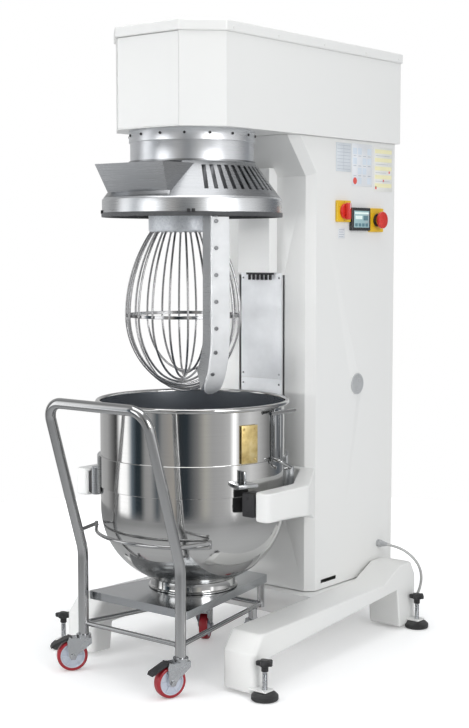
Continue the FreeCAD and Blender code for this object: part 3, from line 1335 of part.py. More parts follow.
CORD_ROUTE = [
    (300, 794, 284), (334, 812, 262), (350, 846, 224), (344, 884, 176), (322, 916, 124),
    (288, 944, 72), (244, 964, 30), (196, 971, 9), (140, 964, 5.8), (83, 955, 5.6),
]

controls()
cable()


# --- Check and write ----------------------------------------------------

doc.recompute()
bad = [o.Name for o in doc.Objects if {"Invalid", "Error"} & set(o.State)]
bad += [o.Label for o in NODES if o.Shape.isNull() or not o.Shape.isValid()]
if bad:
    raise SystemExit("failed objects: " + ", ".join(bad))
low, high = Vector(1e9, 1e9, 1e9), Vector(-1e9, -1e9, -1e9)
for piece in NODES:
    piece.Shape.exportStep(os.path.join("parts", piece.Label + ".step"))
    limits = piece.Shape.BoundBox
    if not piece.Label.startswith("cord_"):
        low = Vector(*(min(a, b) for a, b in zip(low, (limits.XMin, limits.YMin, limits.ZMin))))
        high = Vector(*(max(a, b) for a, b in zip(high, (limits.XMax, limits.YMax, limits.ZMax))))
print(len(NODES), "nodes; box without the cord", low, high)
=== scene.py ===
import json
import math

import bmesh
import bpy
from mathutils import Matrix, Vector


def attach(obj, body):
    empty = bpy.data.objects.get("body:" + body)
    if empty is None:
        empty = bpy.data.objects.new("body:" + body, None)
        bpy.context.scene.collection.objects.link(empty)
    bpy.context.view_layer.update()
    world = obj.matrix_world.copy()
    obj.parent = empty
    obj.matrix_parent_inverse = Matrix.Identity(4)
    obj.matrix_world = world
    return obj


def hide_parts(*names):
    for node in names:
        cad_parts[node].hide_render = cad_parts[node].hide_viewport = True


# A floor-standing planetary mixer with a trolley bowl. Metres, in the CAD model's frame.

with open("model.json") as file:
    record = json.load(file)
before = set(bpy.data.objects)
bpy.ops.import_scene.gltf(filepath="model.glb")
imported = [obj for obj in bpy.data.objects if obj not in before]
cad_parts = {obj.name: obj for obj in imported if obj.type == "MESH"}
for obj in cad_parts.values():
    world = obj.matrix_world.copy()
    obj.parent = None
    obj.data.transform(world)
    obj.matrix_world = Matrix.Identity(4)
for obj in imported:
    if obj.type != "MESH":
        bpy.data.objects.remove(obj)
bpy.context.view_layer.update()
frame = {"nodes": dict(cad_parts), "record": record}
NODES = frame["nodes"]
BODY_OF = {n: body for body, members in frame["record"]["behaviour"]["bodies"].items()
           for n in members}
SLOT_OF = {s["node"]: s["material_slot"] for s in frame["record"]["subparts"]}
AXIS_Y = -0.2095  # the Y of the bowl's axis
TAU = 2 * math.pi
TO_RIGHT = Vector((1, 0, 0))
UP = (0, 0, 1)


def rel(x, y, z):
    """A point whose Y is measured from the bowl's axis."""
    return Vector((x, y + AXIS_Y, z))


def mm(x, y, z):
    """The same for a point in millimetres."""
    return rel(x / 1000, y / 1000, z / 1000)


CENTRE = rel(0, 0, 0)


# --- Shader nodes -------------------------------------------------------

def add_node(tree, kind, links=(), **values):
    """A shader node with constants on named inputs and links into listed ones."""
    made = tree.nodes.new("ShaderNode" + kind)
    for name, level in values.items():
        made.inputs[name.replace("_", " ")].default_value = level
    for socket, source in links:
        tree.links.new(source, made.inputs[socket])
    return made


def worked_out(tree, kind, operation, *sources):
    """A math node over its sources."""
    made = add_node(tree, kind, enumerate(sources))
    made.operation = operation
    return made.outputs["Value"]


def remap(tree, source, start, stop, low=0.0, high=1.0):
    """Maps the range from start to stop onto the one from low to high."""
    return add_node(tree, "MapRange", [("Value", source)], From_Min=start, From_Max=stop,
                    To_Min=low, To_Max=high).outputs[0]


def colour_ramp(tree, source, stops):
    """A colour ramp over stops of (place, colour)."""
    made = add_node(tree, "ValToRGB", [("Fac", source)])
    elements = made.color_ramp.elements
    elements[0].position, elements[1].position = stops[0][0], stops[-1][0]
    for place, _ in stops[1:-1]:
        elements.new(place)
    for element, (_, colour) in zip(elements, stops):
        element.color = (*colour, 1)
    return made.outputs["Color"]


# --- Camera, lights and floor -------------------------------------------

LENS, SENSOR = 68.06, 36
CAMERA_PLACE = rel(2.9191, -3.4054, 1.3754)
CAMERA_DOWN, CAMERA_TURN = 4.946, 38.8523
SKY_TONE = 0.38
FLOOR_RADIUS = 2.9

# Levels round the horizon that metal mirrors, by share of a turn, and their tints.
MIRRORED = [(0.0, 0.50), (0.03, 0.26), (0.062, 0.03), (0.086, 1.7), (0.118, 1.6),
            (0.140, 0.26), (0.16, 0.05), (0.178, 0.05), (0.196, 0.42), (0.217, 0.46),
            (0.240, 0.13), (0.258, 0.36), (0.30, 0.50), (0.315, 0.05), (0.345, 0.06),
            (0.38, 0.27), (0.405, 0.58), (0.43, 0.50), (0.465, 0.56), (0.492, 0.70),
            (0.508, 2.1), (0.526, 0.62), (0.57, 0.92), (0.61, 0.66), (0.66, 0.26),
            (0.72, 0.16), (0.79, 0.40), (0.87, 0.55), (0.94, 0.55), (1.0, 0.50)]
TINTS = {0.140: (0.7, 0.86, 1.0), 0.16: (0.55, 0.80, 1.0), 0.178: (0.55, 0.82, 1.0),
         0.240: (0.7, 0.86, 1.0), 0.30: (1.0, 0.94, 0.86), 0.315: (0.75, 0.88, 1.0),
         0.345: (0.62, 0.82, 1.0), 0.405: (1.0, 0.98, 0.90), 0.72: (0.75, 0.86, 1.0)}


def make_camera():
    """The photo's camera, fitted to the picture's perspective."""
    data = bpy.data.cameras.new("camera")
    data.lens = LENS
    data.sensor_width = SENSOR
    data.clip_end = 100
    camera = bpy.data.objects.new("camera", data)
    camera.location = CAMERA_PLACE
    camera.rotation_euler = (math.radians(90 - CAMERA_DOWN), 0, math.radians(CAMERA_TURN))
    bpy.context.scene.collection.objects.link(camera)
    bpy.context.scene.camera = camera


def area_light(name, place, aim, size, power, mirrored=True, spread=180):
    """A rectangular lamp that the camera doesn't see."""
    data = bpy.data.lights.new(name, "AREA")
    data.shape = "RECTANGLE"
    data.size, data.size_y = size
    data.energy = power
    data.spread = math.radians(spread)
    light = bpy.data.objects.new(name, data)
    light.location = place
    light.visible_glossy = mirrored
    light.visible_camera = False
    light.rotation_euler = (Vector(aim) - Vector(place)).to_track_quat("-Z", "Y").to_euler()
    bpy.context.scene.collection.objects.link(light)


def surround(tree):
    """A background of upright strips round the horizon that fades to one tone overhead."""
    where = add_node(tree, "TexCoord")
    apart = add_node(tree, "SeparateXYZ", [(0, where.outputs["Generated"])])
    turn = worked_out(tree, "Math", "ARCTAN2", apart.outputs["Y"], apart.outputs["X"])
    stops = [(place, [level * tint for tint in TINTS.get(place, (1, 1, 1))])
             for place, level in MIRRORED]
    strips = colour_ramp(tree, remap(tree, turn, -math.pi, math.pi), stops)
    blend = add_node(tree, "MixRGB", [("Fac", remap(tree, apart.outputs["Z"], 0.15, 0.75)),
                                      ("Color1", strips)],
                     Color2=(SKY_TONE, SKY_TONE, SKY_TONE, 1))
    return add_node(tree, "Background", [("Color", blend.outputs[0])])


def make_world():
    """Plain pale surroundings: even light for paint, dark strips for metal to mirror."""
    world = bpy.data.worlds.new("studio")
    world.use_nodes = True
    tree = world.node_tree
    tree.nodes.clear()
    seen = add_node(tree, "Background", Color=(1.0, 1.0, 1.0, 1))
    even = add_node(tree, "Background", Color=(0.96, 0.98, 1.0, 1), Strength=0.58)
    path = add_node(tree, "LightPath")
    first = add_node(tree, "MixShader", [("Fac", path.outputs["Is Glossy Ray"]),
                                         (1, even.outputs[0]), (2, surround(tree).outputs[0])])
    last = add_node(tree, "MixShader", [("Fac", path.outputs["Is Camera Ray"]),
                                        (1, first.outputs[0]), (2, seen.outputs[0])])
    add_node(tree, "OutputWorld", [(0, last.outputs[0])])
    bpy.context.scene.world = world


def make_floor():
    """A pale paper floor that takes soft shadows near the machine and ends in white."""
    mesh = bpy.data.meshes.new("floor")
    form = bmesh.new()
    bmesh.ops.create_circle(form, cap_ends=True, segments=96, radius=FLOOR_RADIUS)
    form.to_mesh(mesh)
    form.free()
    floor = bpy.data.objects.new("floor", mesh)
    floor.location.z = -0.0005
    material = bpy.data.materials.new("floor_paper")
    material.use_nodes = True
    tree = material.node_tree
    shader = tree.nodes["Principled BSDF"]
    shader.inputs["Roughness"].default_value = 0.6
    shader.inputs["Specular IOR Level"].default_value = 0.2
    shader.inputs["Emission Color"].default_value = (1, 1, 1, 1)
    where = add_node(tree, "TexCoord")
    far = worked_out(tree, "VectorMath", "LENGTH", where.outputs["Object"])
    path = add_node(tree, "LightPath")
    glow = worked_out(tree, "Math", "MULTIPLY", remap(tree, far, 0.6, 2.2, 0.22, 0.80),
                      path.outputs["Is Camera Ray"])
    tree.links.new(glow, shader.inputs["Emission Strength"])
    tone = add_node(tree, "MixRGB", [("Color2", remap(tree, far, 0.7, 2.0, 0.62, 0.34)),
                                     ("Fac", path.outputs["Is Glossy Ray"])],
                    Color1=(0.95, 0.95, 0.95, 1))
    tree.links.new(tone.outputs[0], shader.inputs["Base Color"])
    mesh.materials.append(material)
    bpy.context.scene.collection.objects.link(floor)


make_camera()
make_world()
make_floor()
area_light("key", (-1.2, -5.4, 1.9), (0, 0, 1.1), (2.4, 2.4), 34)
area_light("side", (5.0, -1.4, 2.2), (0.2, 0, 1.0), (2.0, 2.6), 80)
area_light("top", (0.2, -0.6, 4.4), (0, 0, 1.0), (3.2, 3.2), 62)
area_light("low", (-1.9, -3.3, 0.9), (0, 0.16, 0.85), (1.4, 1.2), 6, mirrored=False,
           spread=50)
bpy.context.scene.view_settings.view_transform = "Standard"


# --- Materials ----------------------------------------------------------

class Shade:
    """A Principled material with small helpers for its nodes."""

    def __init__(self, name):
        self.material = bpy.data.materials.new(name)
        self.material.use_nodes = True
        self.tree = self.material.node_tree
        self.shader = self.tree.nodes["Principled BSDF"]
        self.coord = add_node(self.tree, "TexCoord")

    def set(self, **values):
        """Sets constants on the shader and gives the finished material."""
        for name, level in values.items():
            self.shader.inputs[name.replace("_", " ")].default_value = level
        return self.material

    def texture(self, kind, stretch, output, **values):
        """A texture in object space, scaled along each axis."""
        spot = add_node(self.tree, "Mapping", [("Vector", self.coord.outputs["Object"])],
                        Scale=stretch)
        return add_node(self.tree, kind, [("Vector", spot.outputs[0])], **values
                        ).outputs[output]

    def noise(self, scale, detail=4, stretch=(1, 1, 1), rough=0.55):
        return self.texture("TexNoise", stretch, "Fac", Scale=scale, Detail=detail,
                            Roughness=rough)

    def spots(self, scale):
        return self.texture("TexVoronoi", (1, 1, 1), "Distance", Scale=scale)

    def between(self, source, low, high, start=0.3, stop=0.7):
        """Maps the middle of a 0 to 1 source onto a range."""
        return remap(self.tree, source, start, stop, low, high)

    def mix(self, fac, first, second):
        """Mixes two colours or levels, each a constant or the output of a node."""
        made = add_node(self.tree, "MixRGB")
        for socket, thing in (("Fac", fac), ("Color1", first), ("Color2", second)):
            if isinstance(thing, (int, float)):
                made.inputs[socket].default_value = thing
            elif isinstance(thing, tuple):
                made.inputs[socket].default_value = (*thing, 1)
            else:
                self.tree.links.new(thing, made.inputs[socket])
        return made.outputs[0]

    def colour(self, source):
        self.tree.links.new(source, self.shader.inputs["Base Color"])

    def rough(self, source):
        self.tree.links.new(source, self.shader.inputs["Roughness"])

    def bump(self, *layers):
        """Layers of (height source, strength, distance in metres)."""
        links = []
        for source, strength, distance in layers:
            made = add_node(self.tree, "Bump", [("Height", source)] + links,
                            Strength=strength, Distance=distance)
            links = [("Normal", made.outputs[0])]
        self.tree.links.new(made.outputs[0], self.shader.inputs["Normal"])

    def edges(self):
        """How sharp the surface is: above a half on edges, below it in corners."""
        return add_node(self.tree, "NewGeometry").outputs["Pointiness"]


def painted(name, base, rough=(0.26, 0.36)):
    """Epoxy paint: faint mottling, orange peel and a little rubbing on its edges."""
    s = Shade(name)
    dim = tuple(c * 0.955 for c in base)
    warm = (base[0], base[1] * 0.992, base[2] * 0.972)
    cloud = s.mix(s.between(s.noise(1.7, 1), 0, 1, 0.1, 0.9), base, warm)
    speck = s.mix(s.between(s.noise(420, 2), 0, 0.25, 0.2, 0.8), cloud, dim)
    rub = s.between(s.edges(), 0, 0.21, 0.56, 0.66)
    s.colour(s.mix(rub, speck, tuple(min(1, c * 1.04) for c in base)))
    s.rough(s.between(s.noise(3, 1), *rough, 0.1, 0.9))
    s.bump((s.noise(420, 2), 0.05, 0.0004))
    return s.set(Coat_Weight=0.25, Coat_Roughness=0.18, Specular_IOR_Level=0.5)


def steel(name, stretch, base=(0.62, 0.63, 0.64), rough=(0.22, 0.36), scratch=0.10, metal=1.0):
    """Ground stainless steel. The stretch is small along the grinding lines."""
    s = Shade(name)
    lines = s.noise(1.0, 6, stretch, 0.72)
    soft = s.noise(2.4, 4)
    tint = s.mix(s.between(lines, 0, 0.7), base, tuple(c * 0.80 for c in base))
    cool = (base[0] * 0.95, base[1] * 0.985, base[2] * 1.02)
    s.colour(s.mix(s.between(soft, 0, 0.6), tint, cool))
    s.rough(s.between(s.mix(0.45, lines, soft), *rough))
    s.bump((lines, scratch, 0.0004), (s.noise(7, 3), 0.05, 0.002))
    return s.set(Metallic=metal, Anisotropic=0.35)


def mirror_steel(name, stretch, base=(0.66, 0.67, 0.68), rough=(0.06, 0.16)):
    """Polished stainless steel with faint polishing lines and smears."""
    s = Shade(name)
    lines = s.noise(1.0, 5, stretch, 0.7)
    smear = s.noise(5.5, 5)
    s.colour(s.mix(s.between(lines, 0, 0.35), base, tuple(c * 0.82 for c in base)))
    s.rough(s.between(s.mix(0.5, lines, smear), *rough))
    s.bump((lines, 0.04, 0.0003), (s.noise(3.2, 2), 0.16, 0.004))
    return s.set(Metallic=1.0)


def zinc(name):
    """Zinc plate: faint crystal flakes."""
    s = Shade(name)
    flakes = s.spots(240)
    s.colour(s.mix(s.between(flakes, 0, 0.6, 0.1, 0.7), (0.60, 0.61, 0.62), (0.50, 0.52, 0.55)))
    s.rough(s.between(s.noise(30, 4), 0.18, 0.32))
    s.bump((s.noise(260, 3), 0.05, 0.0003))
    return s.set(Metallic=1.0)


def plastic(name, base, rough=(0.32, 0.5), grain=700, depth=0.08, coat=0.0):
    """Moulded plastic: fine grain, faint flow marks and paler rubbed edges."""
    s = Shade(name)
    cloud = s.mix(s.between(s.noise(14, 4), 0, 1), base, tuple(c * 0.86 for c in base))
    rub = s.between(s.edges(), 0, 0.35, 0.53, 0.62)
    s.colour(s.mix(rub, cloud, tuple(min(1, c * 1.25 + 0.03) for c in base)))
    s.rough(s.between(s.noise(40, 4), *rough))
    s.bump((s.noise(grain, 2), depth, 0.0003))
    return s.set(Coat_Weight=coat, Coat_Roughness=0.1)


def rubber(name, base, sheen=0.15):
    """Dull rubber with a little dust."""
    s = Shade(name)
    dust = s.between(s.noise(22, 6), 0, 0.5, 0.45, 0.75)
    s.colour(s.mix(dust, base, tuple(c * 0.7 + 0.06 for c in base)))
    s.rough(s.between(s.noise(90, 4), 0.55, 0.82))
    s.bump((s.noise(500, 3), 0.14, 0.0004))
    return s.set(Sheen_Weight=sheen, Sheen_Roughness=0.5)


def cast(name, base):
    """Rough cast metal."""
    s = Shade(name)
    s.colour(s.mix(s.between(s.noise(20, 6), 0, 0.8), base, tuple(c * 0.6 for c in base)))
    s.rough(s.between(s.noise(35, 5), 0.38, 0.62))
    s.bump((s.noise(300, 4), 0.2, 0.0005))
    return s.set(Metallic=0.85)


def mottled_alloy(name):
    """Sand-cast aluminium, tumbled: a pale metal with a fine speckle."""
    s = Shade(name)
    speck = s.noise(150, 6, rough=0.8)
    s.colour(colour_ramp(s.tree, speck, [(0.3, (0.52, 0.55, 0.60)), (0.5, (0.70, 0.73, 0.77)),
                                         (0.7, (0.84, 0.86, 0.89))]))
    s.rough(s.between(s.noise(70, 4), 0.34, 0.55))
    s.bump((speck, 0.22, 0.0005))
    return s.set(Metallic=0.55)


def brass(name):
    """Stained brass with fine lines across it."""
    s = Shade(name)
    stain = s.noise(26, 6)
    s.colour(colour_ramp(s.tree, stain, [(0.3, (0.50, 0.36, 0.14)), (0.5, (0.74, 0.58, 0.26)),
                                         (0.7, (0.86, 0.72, 0.40))]))
    s.rough(s.between(s.noise(60, 4), 0.28, 0.5))
    s.bump((s.noise(1.0, 5, (30, 30, 900)), 0.08, 0.0004))
    return s.set(Metallic=0.9)


WHITE = (0.84, 0.845, 0.84)
M = {
    "white_paint": painted("white_paint", WHITE),
    # A paler copy of the white paint for the lift housing, which sits in the head's shade: painted
    # light.
    "painted_light_paint": painted("painted_light_paint", (0.93, 0.935, 0.93)),
    "cast_paint": painted("cast_paint", (0.83, 0.835, 0.83), rough=(0.30, 0.42)),
    "drum_paint": steel("drum_satin", (3, 3, 620), (0.80, 0.81, 0.83), (0.24, 0.36), 0.08,
                        metal=0.86),
    "brushed_steel": steel("brushed_steel", (5, 5, 700)),
    "guard_steel": steel("guard_steel", (4, 4, 520), (0.76, 0.765, 0.775), (0.22, 0.34), 0.08),
    # A darker copy of the guard's steel for the cone, chute and neck: painted shade.
    "painted_shade_cone_steel": steel("painted_shade_cone_steel", (4, 4, 520), (0.40, 0.405, 0.415), (0.22, 0.34), 0.08),
    # Near-black steel for faces inside the guard: painted shade, not the sheet's own colour.
    "painted_shade_steel": steel("painted_shade_steel", (4, 4, 520), (0.13, 0.132, 0.138), (0.30, 0.42), 0.08),
    "tube_steel": mirror_steel("tube_steel", (240, 240, 240), (0.54, 0.545, 0.55), (0.07, 0.15)),
    "wire_steel": mirror_steel("wire_steel", (160, 160, 160), (0.52, 0.52, 0.53), (0.10, 0.18)),
    "bowl_steel": mirror_steel("bowl_steel", (3, 3, 420), (0.62, 0.62, 0.615), (0.05, 0.13)),
    "bowl_inside": steel("bowl_inside", (4, 4, 480), (0.58, 0.60, 0.63), (0.15, 0.24), 0.07,
                         metal=0.93),
    "panel_steel": plastic("front_sheet", (0.93, 0.95, 0.98), (0.30, 0.40), 900, 0.01),
    "polished_steel": mirror_steel("polished_steel", (5, 5, 500)),
    "plate_steel": steel("plate_steel", (4, 300, 300), (0.52, 0.53, 0.54), (0.12, 0.22), 0.04),
    "zinc": zinc("zinc_plate"),
    "black_plastic": plastic("black_plastic", (0.022, 0.022, 0.024), (0.35, 0.55)),
    "black_rubber": rubber("black_rubber", (0.022, 0.022, 0.023)),
    "white_seal": rubber("dark_seal", (0.06, 0.062, 0.066)),
    "blade_plastic": plastic("blade_plastic", (0.78, 0.79, 0.80), (0.30, 0.45), 420, 0.05),
    "red_tyre": plastic("red_tyre", (0.36, 0.012, 0.022), (0.28, 0.42), 500, 0.06, 0.3),
    "hub_plastic": plastic("hub_plastic", (0.62, 0.66, 0.74), (0.35, 0.5)),
    "grey_plastic": plastic("grey_plastic", (0.50, 0.51, 0.52)),
    "brush_black": rubber("brush_black", (0.018, 0.018, 0.02), 0.3),
    "yellow_plastic": plastic("yellow_plastic", (0.86, 0.55, 0.02), (0.25, 0.38), coat=0.2),
    "red_plastic": plastic("red_plastic", (0.70, 0.03, 0.02), (0.22, 0.34), coat=0.3),
    "screen_glass": plastic("screen_bezel", (0.03, 0.032, 0.035), (0.2, 0.3), coat=0.4),
    "brass": brass("brass_wear"),
    "cast_iron": cast("cast_iron", (0.30, 0.31, 0.32)),
    "alloy": mottled_alloy("tumbled_alloy"),
    "motor_paint": painted("motor_paint", (0.14, 0.20, 0.27), rough=(0.35, 0.5)),
    "cord_sheath": plastic("cord_sheath", (0.55, 0.55, 0.54), (0.4, 0.6), 300, 0.1),
    "plug_plastic": plastic("plug_plastic", (0.55, 0.035, 0.03), (0.3, 0.42), coat=0.15),
}


# --- Building blocks ----------------------------------------------------

def publish(name, mesh, body, slot, *replaced, material=None):
    """Links a mesh or curve as a piece that rides on a body."""
    piece = bpy.data.objects.new(name, mesh)
    bpy.context.scene.collection.objects.link(piece)
    mesh.materials.append(M[material or slot])
    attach(piece, body)
    if replaced:
        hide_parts(*replaced)
    return piece


def smooth_by_angle(mesh, degrees=35):
    """Smooth shading except at edges sharper than an angle."""
    mesh.shade_smooth()
    mesh.set_sharp_from_angle(angle=math.radians(degrees))


def rounded(piece, width, segments=3, angle=25):
    """Rounds a piece's sharp edges."""
    bevel = piece.modifiers.new("edges", "BEVEL")
    bevel.width = width
    bevel.segments = segments
    bevel.limit_method = "ANGLE"
    bevel.angle_limit = math.radians(angle)
    bevel.harden_normals = True
    return bevel


SHARP = 32  # degrees: a CAD edge sharper than this is rounded


def softened(node, width, segments=2, material=None, merged=True):
    """A copy of a CAD node whose sharp edges are rounded, shown in its place."""
    mesh = NODES[node].data.copy()
    mesh.name = node + "_soft"
    mesh.materials.clear()
    form = bmesh.new()
    form.from_mesh(mesh)
    bmesh.ops.remove_doubles(form, verts=form.verts, dist=2e-5)
    if merged:
        bmesh.ops.dissolve_limit(form, angle_limit=math.radians(0.6), verts=form.verts,
                                 edges=form.edges, delimit={"NORMAL"})
    form.to_mesh(mesh)
    form.free()
    piece = publish(node + "_soft", mesh, BODY_OF[node], SLOT_OF[node], node, material=material)
    smooth_by_angle(mesh, SHARP)
    rounded(piece, width, segments, SHARP).miter_outer = "MITER_ARC"


def show(name, form, body, slot, *replaced, angle=35, material=None):
    """Publishes a form as a piece."""
    return publish(name, mesh_of(form, name, angle), body, slot, *replaced, material=material)


def skin(form, here, there, closed=True):
    """Joins two rings or lines of points with faces."""
    for k in range(len(here) if closed else len(here) - 1):
        j = (k + 1) % len(here)
        form.faces.new((here[k], here[j], there[j], there[k]))


def facing(place, way):
    """A matrix at a place whose Z looks along a way."""
    spin = Vector(way).to_track_quat("Z", "Y").to_matrix().to_4x4()
    return Matrix.Translation(Vector(place)) @ spin


def lathe_into(form, profile, centre, axis=UP, steps=128, closed=True):
    """Turns an outline of (radius, height) about an axis through a centre."""
    base = facing(centre, axis)
    rings = []
    for k in range(steps):
        angle = TAU * k / steps
        rings.append([form.verts.new(base @ Vector((r * math.cos(angle), r * math.sin(angle), z)))
                      for r, z in profile])
    count = len(profile)
    spans = range(count) if closed else range(count - 1)
    for k in range(steps):
        here, there = rings[k], rings[(k + 1) % steps]
        for i in spans:
            j = (i + 1) % count
            form.faces.new((here[i], there[i], there[j], here[j]))


def mesh_of(form, name, angle=35):
    """A mesh with its normals outward, smooth except at sharp edges."""
    bmesh.ops.remove_doubles(form, verts=form.verts, dist=1e-7)
    bmesh.ops.recalc_face_normals(form, faces=form.faces)
    mesh = bpy.data.meshes.new(name)
    form.to_mesh(mesh)
    form.free()
    smooth_by_angle(mesh, angle)
    return mesh


def lathe(name, profile, centre, body, slot, *replaced, axis=UP, steps=128, closed=True,
          angle=35, material=None):
    """A turned piece."""
    form = bmesh.new()
    lathe_into(form, profile, centre, axis, steps, closed)
    return show(name, form, body, slot, *replaced, angle=angle, material=material)


def arc_points(centre, radius, start, end, count):
    """Points of an arc in a profile plane, in degrees."""
    return [(centre[0] + radius * math.cos(math.radians(start + (end - start) * k / count)),
             centre[1] + radius * math.sin(math.radians(start + (end - start) * k / count)))
            for k in range(count + 1)]


def bent_line(points, radii, count=14):
    """Runs joined by arcs, as a dense list of points."""
    line = [Vector(points[0])]
    for before, corner, after, radius in zip(points, points[1:], points[2:], radii):
        before, corner, after = Vector(before), Vector(corner), Vector(after)
        into, out = (corner - before).normalized(), (after - corner).normalized()
        half = into.angle(out) / 2
        first = corner - into * radius * math.tan(half)
        side = (out - into).normalized()
        centre = corner + side * radius / math.cos(half)
        arm = first - centre
        turn_axis = into.cross(out).normalized()
        for k in range(count + 1):
            line.append(centre + Matrix.Rotation(2 * half * k / count, 3, turn_axis) @ arm)
    line.append(Vector(points[-1]))
    return line


def rods(name, lines, radius, sides, body, slot, *replaced, material=None):
    """Round rods or wires along one or more lines of points."""
    data = bpy.data.curves.new(name, "CURVE")
    data.dimensions = "3D"
    data.bevel_depth = radius
    data.bevel_resolution = sides
    data.use_fill_caps = True
    for line in lines:
        spline = data.splines.new("POLY")
        spline.points.add(len(line) - 1)
        for point, spot in zip(spline.points, line):
            point.co = (*spot, 1)
    publish(name, data, body, slot, *replaced, material=material)


def around_axis(radius, angle, z):
    """A point at a radius, an angle in degrees and a height about the bowl's axis."""
    a = math.radians(angle)
    return rel(radius * math.cos(a), radius * math.sin(a), z)


def about_bowl(angle):
    """A turn in degrees about the bowl's axis."""
    return Matrix.Translation(CENTRE) @ Matrix.Rotation(math.radians(angle), 4, "Z")


def box_into(form, low, high, matrix=Matrix.Identity(4), bevel=0.0):
    """A box between two corners, rounded and then moved by a matrix."""
    low, high = Vector(low), Vector(high)
    made = bmesh.ops.create_cube(form, size=1.0)["verts"]
    for v in made:
        v.co = Vector([(v.co[i] + 0.5) * (high[i] - low[i]) + low[i] for i in range(3)])
    if bevel:
        edges = {e for v in made for e in v.link_edges}
        made = bmesh.ops.bevel(form, geom=list(edges), offset=bevel, segments=2,
                               affect="EDGES", profile=0.5)["verts"]
    for v in set(made):
        v.co = matrix @ v.co


def capped_screw(form, place, way, radius, height, socket=True):
    """A socket-head or domed screw head standing on a surface."""
    r, h = radius, height
    profile = [(0.0001, 0), (r, 0), (r, h * 0.75), (r * 0.82, h)]
    if socket:
        profile += [(r * 0.5, h), (r * 0.45, h * 0.45), (0.0001, h * 0.40)]
    else:
        profile += [(r * 0.4, h * 1.05), (0.0001, h * 1.08)]
    lathe_into(form, profile, place, way, 18, closed=False)


def block(name, low, high, bevel, body, slot, *replaced, angle=35, material=None):
    """One box with rounded edges."""
    form = bmesh.new()
    box_into(form, low, high, bevel=bevel)
    show(name, form, body, slot, *replaced, angle=angle, material=material)


def screws(name, spots, radius, height, body, slot, *replaced, socket=True, material=None):
    """Screw heads at a list of (place, way)."""
    form = bmesh.new()
    for place, way in spots:
        capped_screw(form, place, way, radius, height, socket)
    show(name, form, body, slot, *replaced, material=material)


# --- Cord ---------------------------------------------------------------

CORD_ROUTE = [
    (254.9, 791, 288), (300, 794, 284), (334, 812, 262), (350, 846, 224), (344, 884, 176),
    (322, 916, 124), (288, 944, 72), (244, 964, 30), (196, 971, 9), (140, 964, 5.8),
    (100, 955, 5.6),
]
COIL_CENTRE = (30, 1010)


def cord_line():
    """The cord's control points: its route, the coil's turns and the lead into the plug."""
    points = [mm(x, y, z) for x, y, z in CORD_ROUTE]
    steps = 16
    layers = [(67, 5.4), (57, 5.4), (47, 5.4), (47, 15.7), (57, 15.7), (67, 15.7)]
    cx, cy = COIL_CENTRE
    for k in range(steps * len(layers) + 1):
        turn_number = min(k // steps, len(layers) - 1)
        part = k / steps - turn_number
        radius, height = layers[turn_number]
        after = layers[min(turn_number + 1, len(layers) - 1)]
        ease = max(0.0, part - 0.55) / 0.45
        radius += (after[0] - radius) * ease
        height += (after[1] - height) * ease
        angle = math.radians(-90 - 360 * k / steps)
        points.append(mm(cx + radius * math.cos(angle), cy + radius * math.sin(angle), height))
    for x, y, z in ((4, 943.4, 17.4), (-16, 943, 24), (-26, 943, 28), (-34, 943, 29)):
        points.append(mm(x, y, z))
    return points


def make_cord():
    """The mains cord and its measured length."""
    points = cord_line()
    data = bpy.data.curves.new("mains_cord", "CURVE")
    data.dimensions = "3D"
    data.bevel_depth = 0.005
    data.bevel_resolution = 5
    data.resolution_u = 6
    data.use_fill_caps = True
    spline = data.splines.new("NURBS")
    spline.points.add(len(points) - 1)
    for point, spot in zip(spline.points, points):
        point.co = (*spot, 1)
    spline.order_u = 3
    spline.use_endpoint_u = True
    piece = publish("mains_cord", data, "machine", "cord_sheath", "cord_tube", "cord_coil")
    bare = data.copy()
    bare.bevel_depth = 0
    probe = bpy.data.objects.new("probe", bare)
    bpy.context.scene.collection.objects.link(probe)
    spots = [v.co.copy() for v in bpy.data.meshes.new_from_object(probe).vertices]
    bpy.data.objects.remove(probe)
    length = sum((b - a).length for a, b in zip(spots, spots[1:]))
    print("cord length", round(length, 3))
    return piece, length


def make_plug():
    """An industrial plug: ribbed grip, collar, deep cup and round pins."""
    tip = rel(-0.034, 0.943, 0.029)
    way = Vector((-1, 0, 0))
    grip = [(0.0065, 0), (0.0075, 0.001), (0.017, 0.024), (0.0185, 0.030), (0.0225, 0.032)]
    for k in range(7):
        z = 0.036 + 0.0072 * k
        grip += [(0.0238, z), (0.0238, z + 0.0045), (0.0226, z + 0.0052), (0.0226, z + 0.0068)]
    grip += [(0.024, 0.092), (0.0275, 0.098), (0.0283, 0.1), (0.0283, 0.134), (0.027, 0.136),
             (0.0235, 0.136), (0.0228, 0.134), (0.0228, 0.104), (0.0001, 0.103)]
    grip = [(0.0001, 0.0)] + grip
    shell = lathe("plug_shell", grip, tip, "machine", "plug_plastic", "cord_plug", axis=way,
                  steps=64, closed=False, angle=40)
    form = bmesh.new()
    for k, radius in enumerate((0.0032, 0.0026, 0.0026, 0.0026)):
        a = math.radians(90 * k)
        start = tip + Vector((-0.103, 0.0125 * math.cos(a), 0.0125 * math.sin(a)))
        lathe_into(form, [(0.0001, 0), (radius, 0), (radius, 0.024), (radius * 0.7, 0.026),
                          (0.0001, 0.0262)], start, way, 20, closed=False)
    pins = show("plug_pins", form, "machine", "zinc")
    return [shell, pins]


cord, cord_length = make_cord()
plug = make_plug()


# --- Base and levelling feet --------------------------------------------

def prism(outline, low, high):
    """A closed upright block over an outline of (x, y) in millimetres."""
    form = bmesh.new()
    floor = [form.verts.new(rel(x / 1000, y / 1000, low)) for x, y in outline]
    roof = [form.verts.new(rel(x / 1000, y / 1000, high)) for x, y in outline]
    form.faces.new(floor[::-1])
    form.faces.new(roof)
    skin(form, floor, roof)
    bmesh.ops.recalc_face_normals(form, faces=form.faces)
    return form


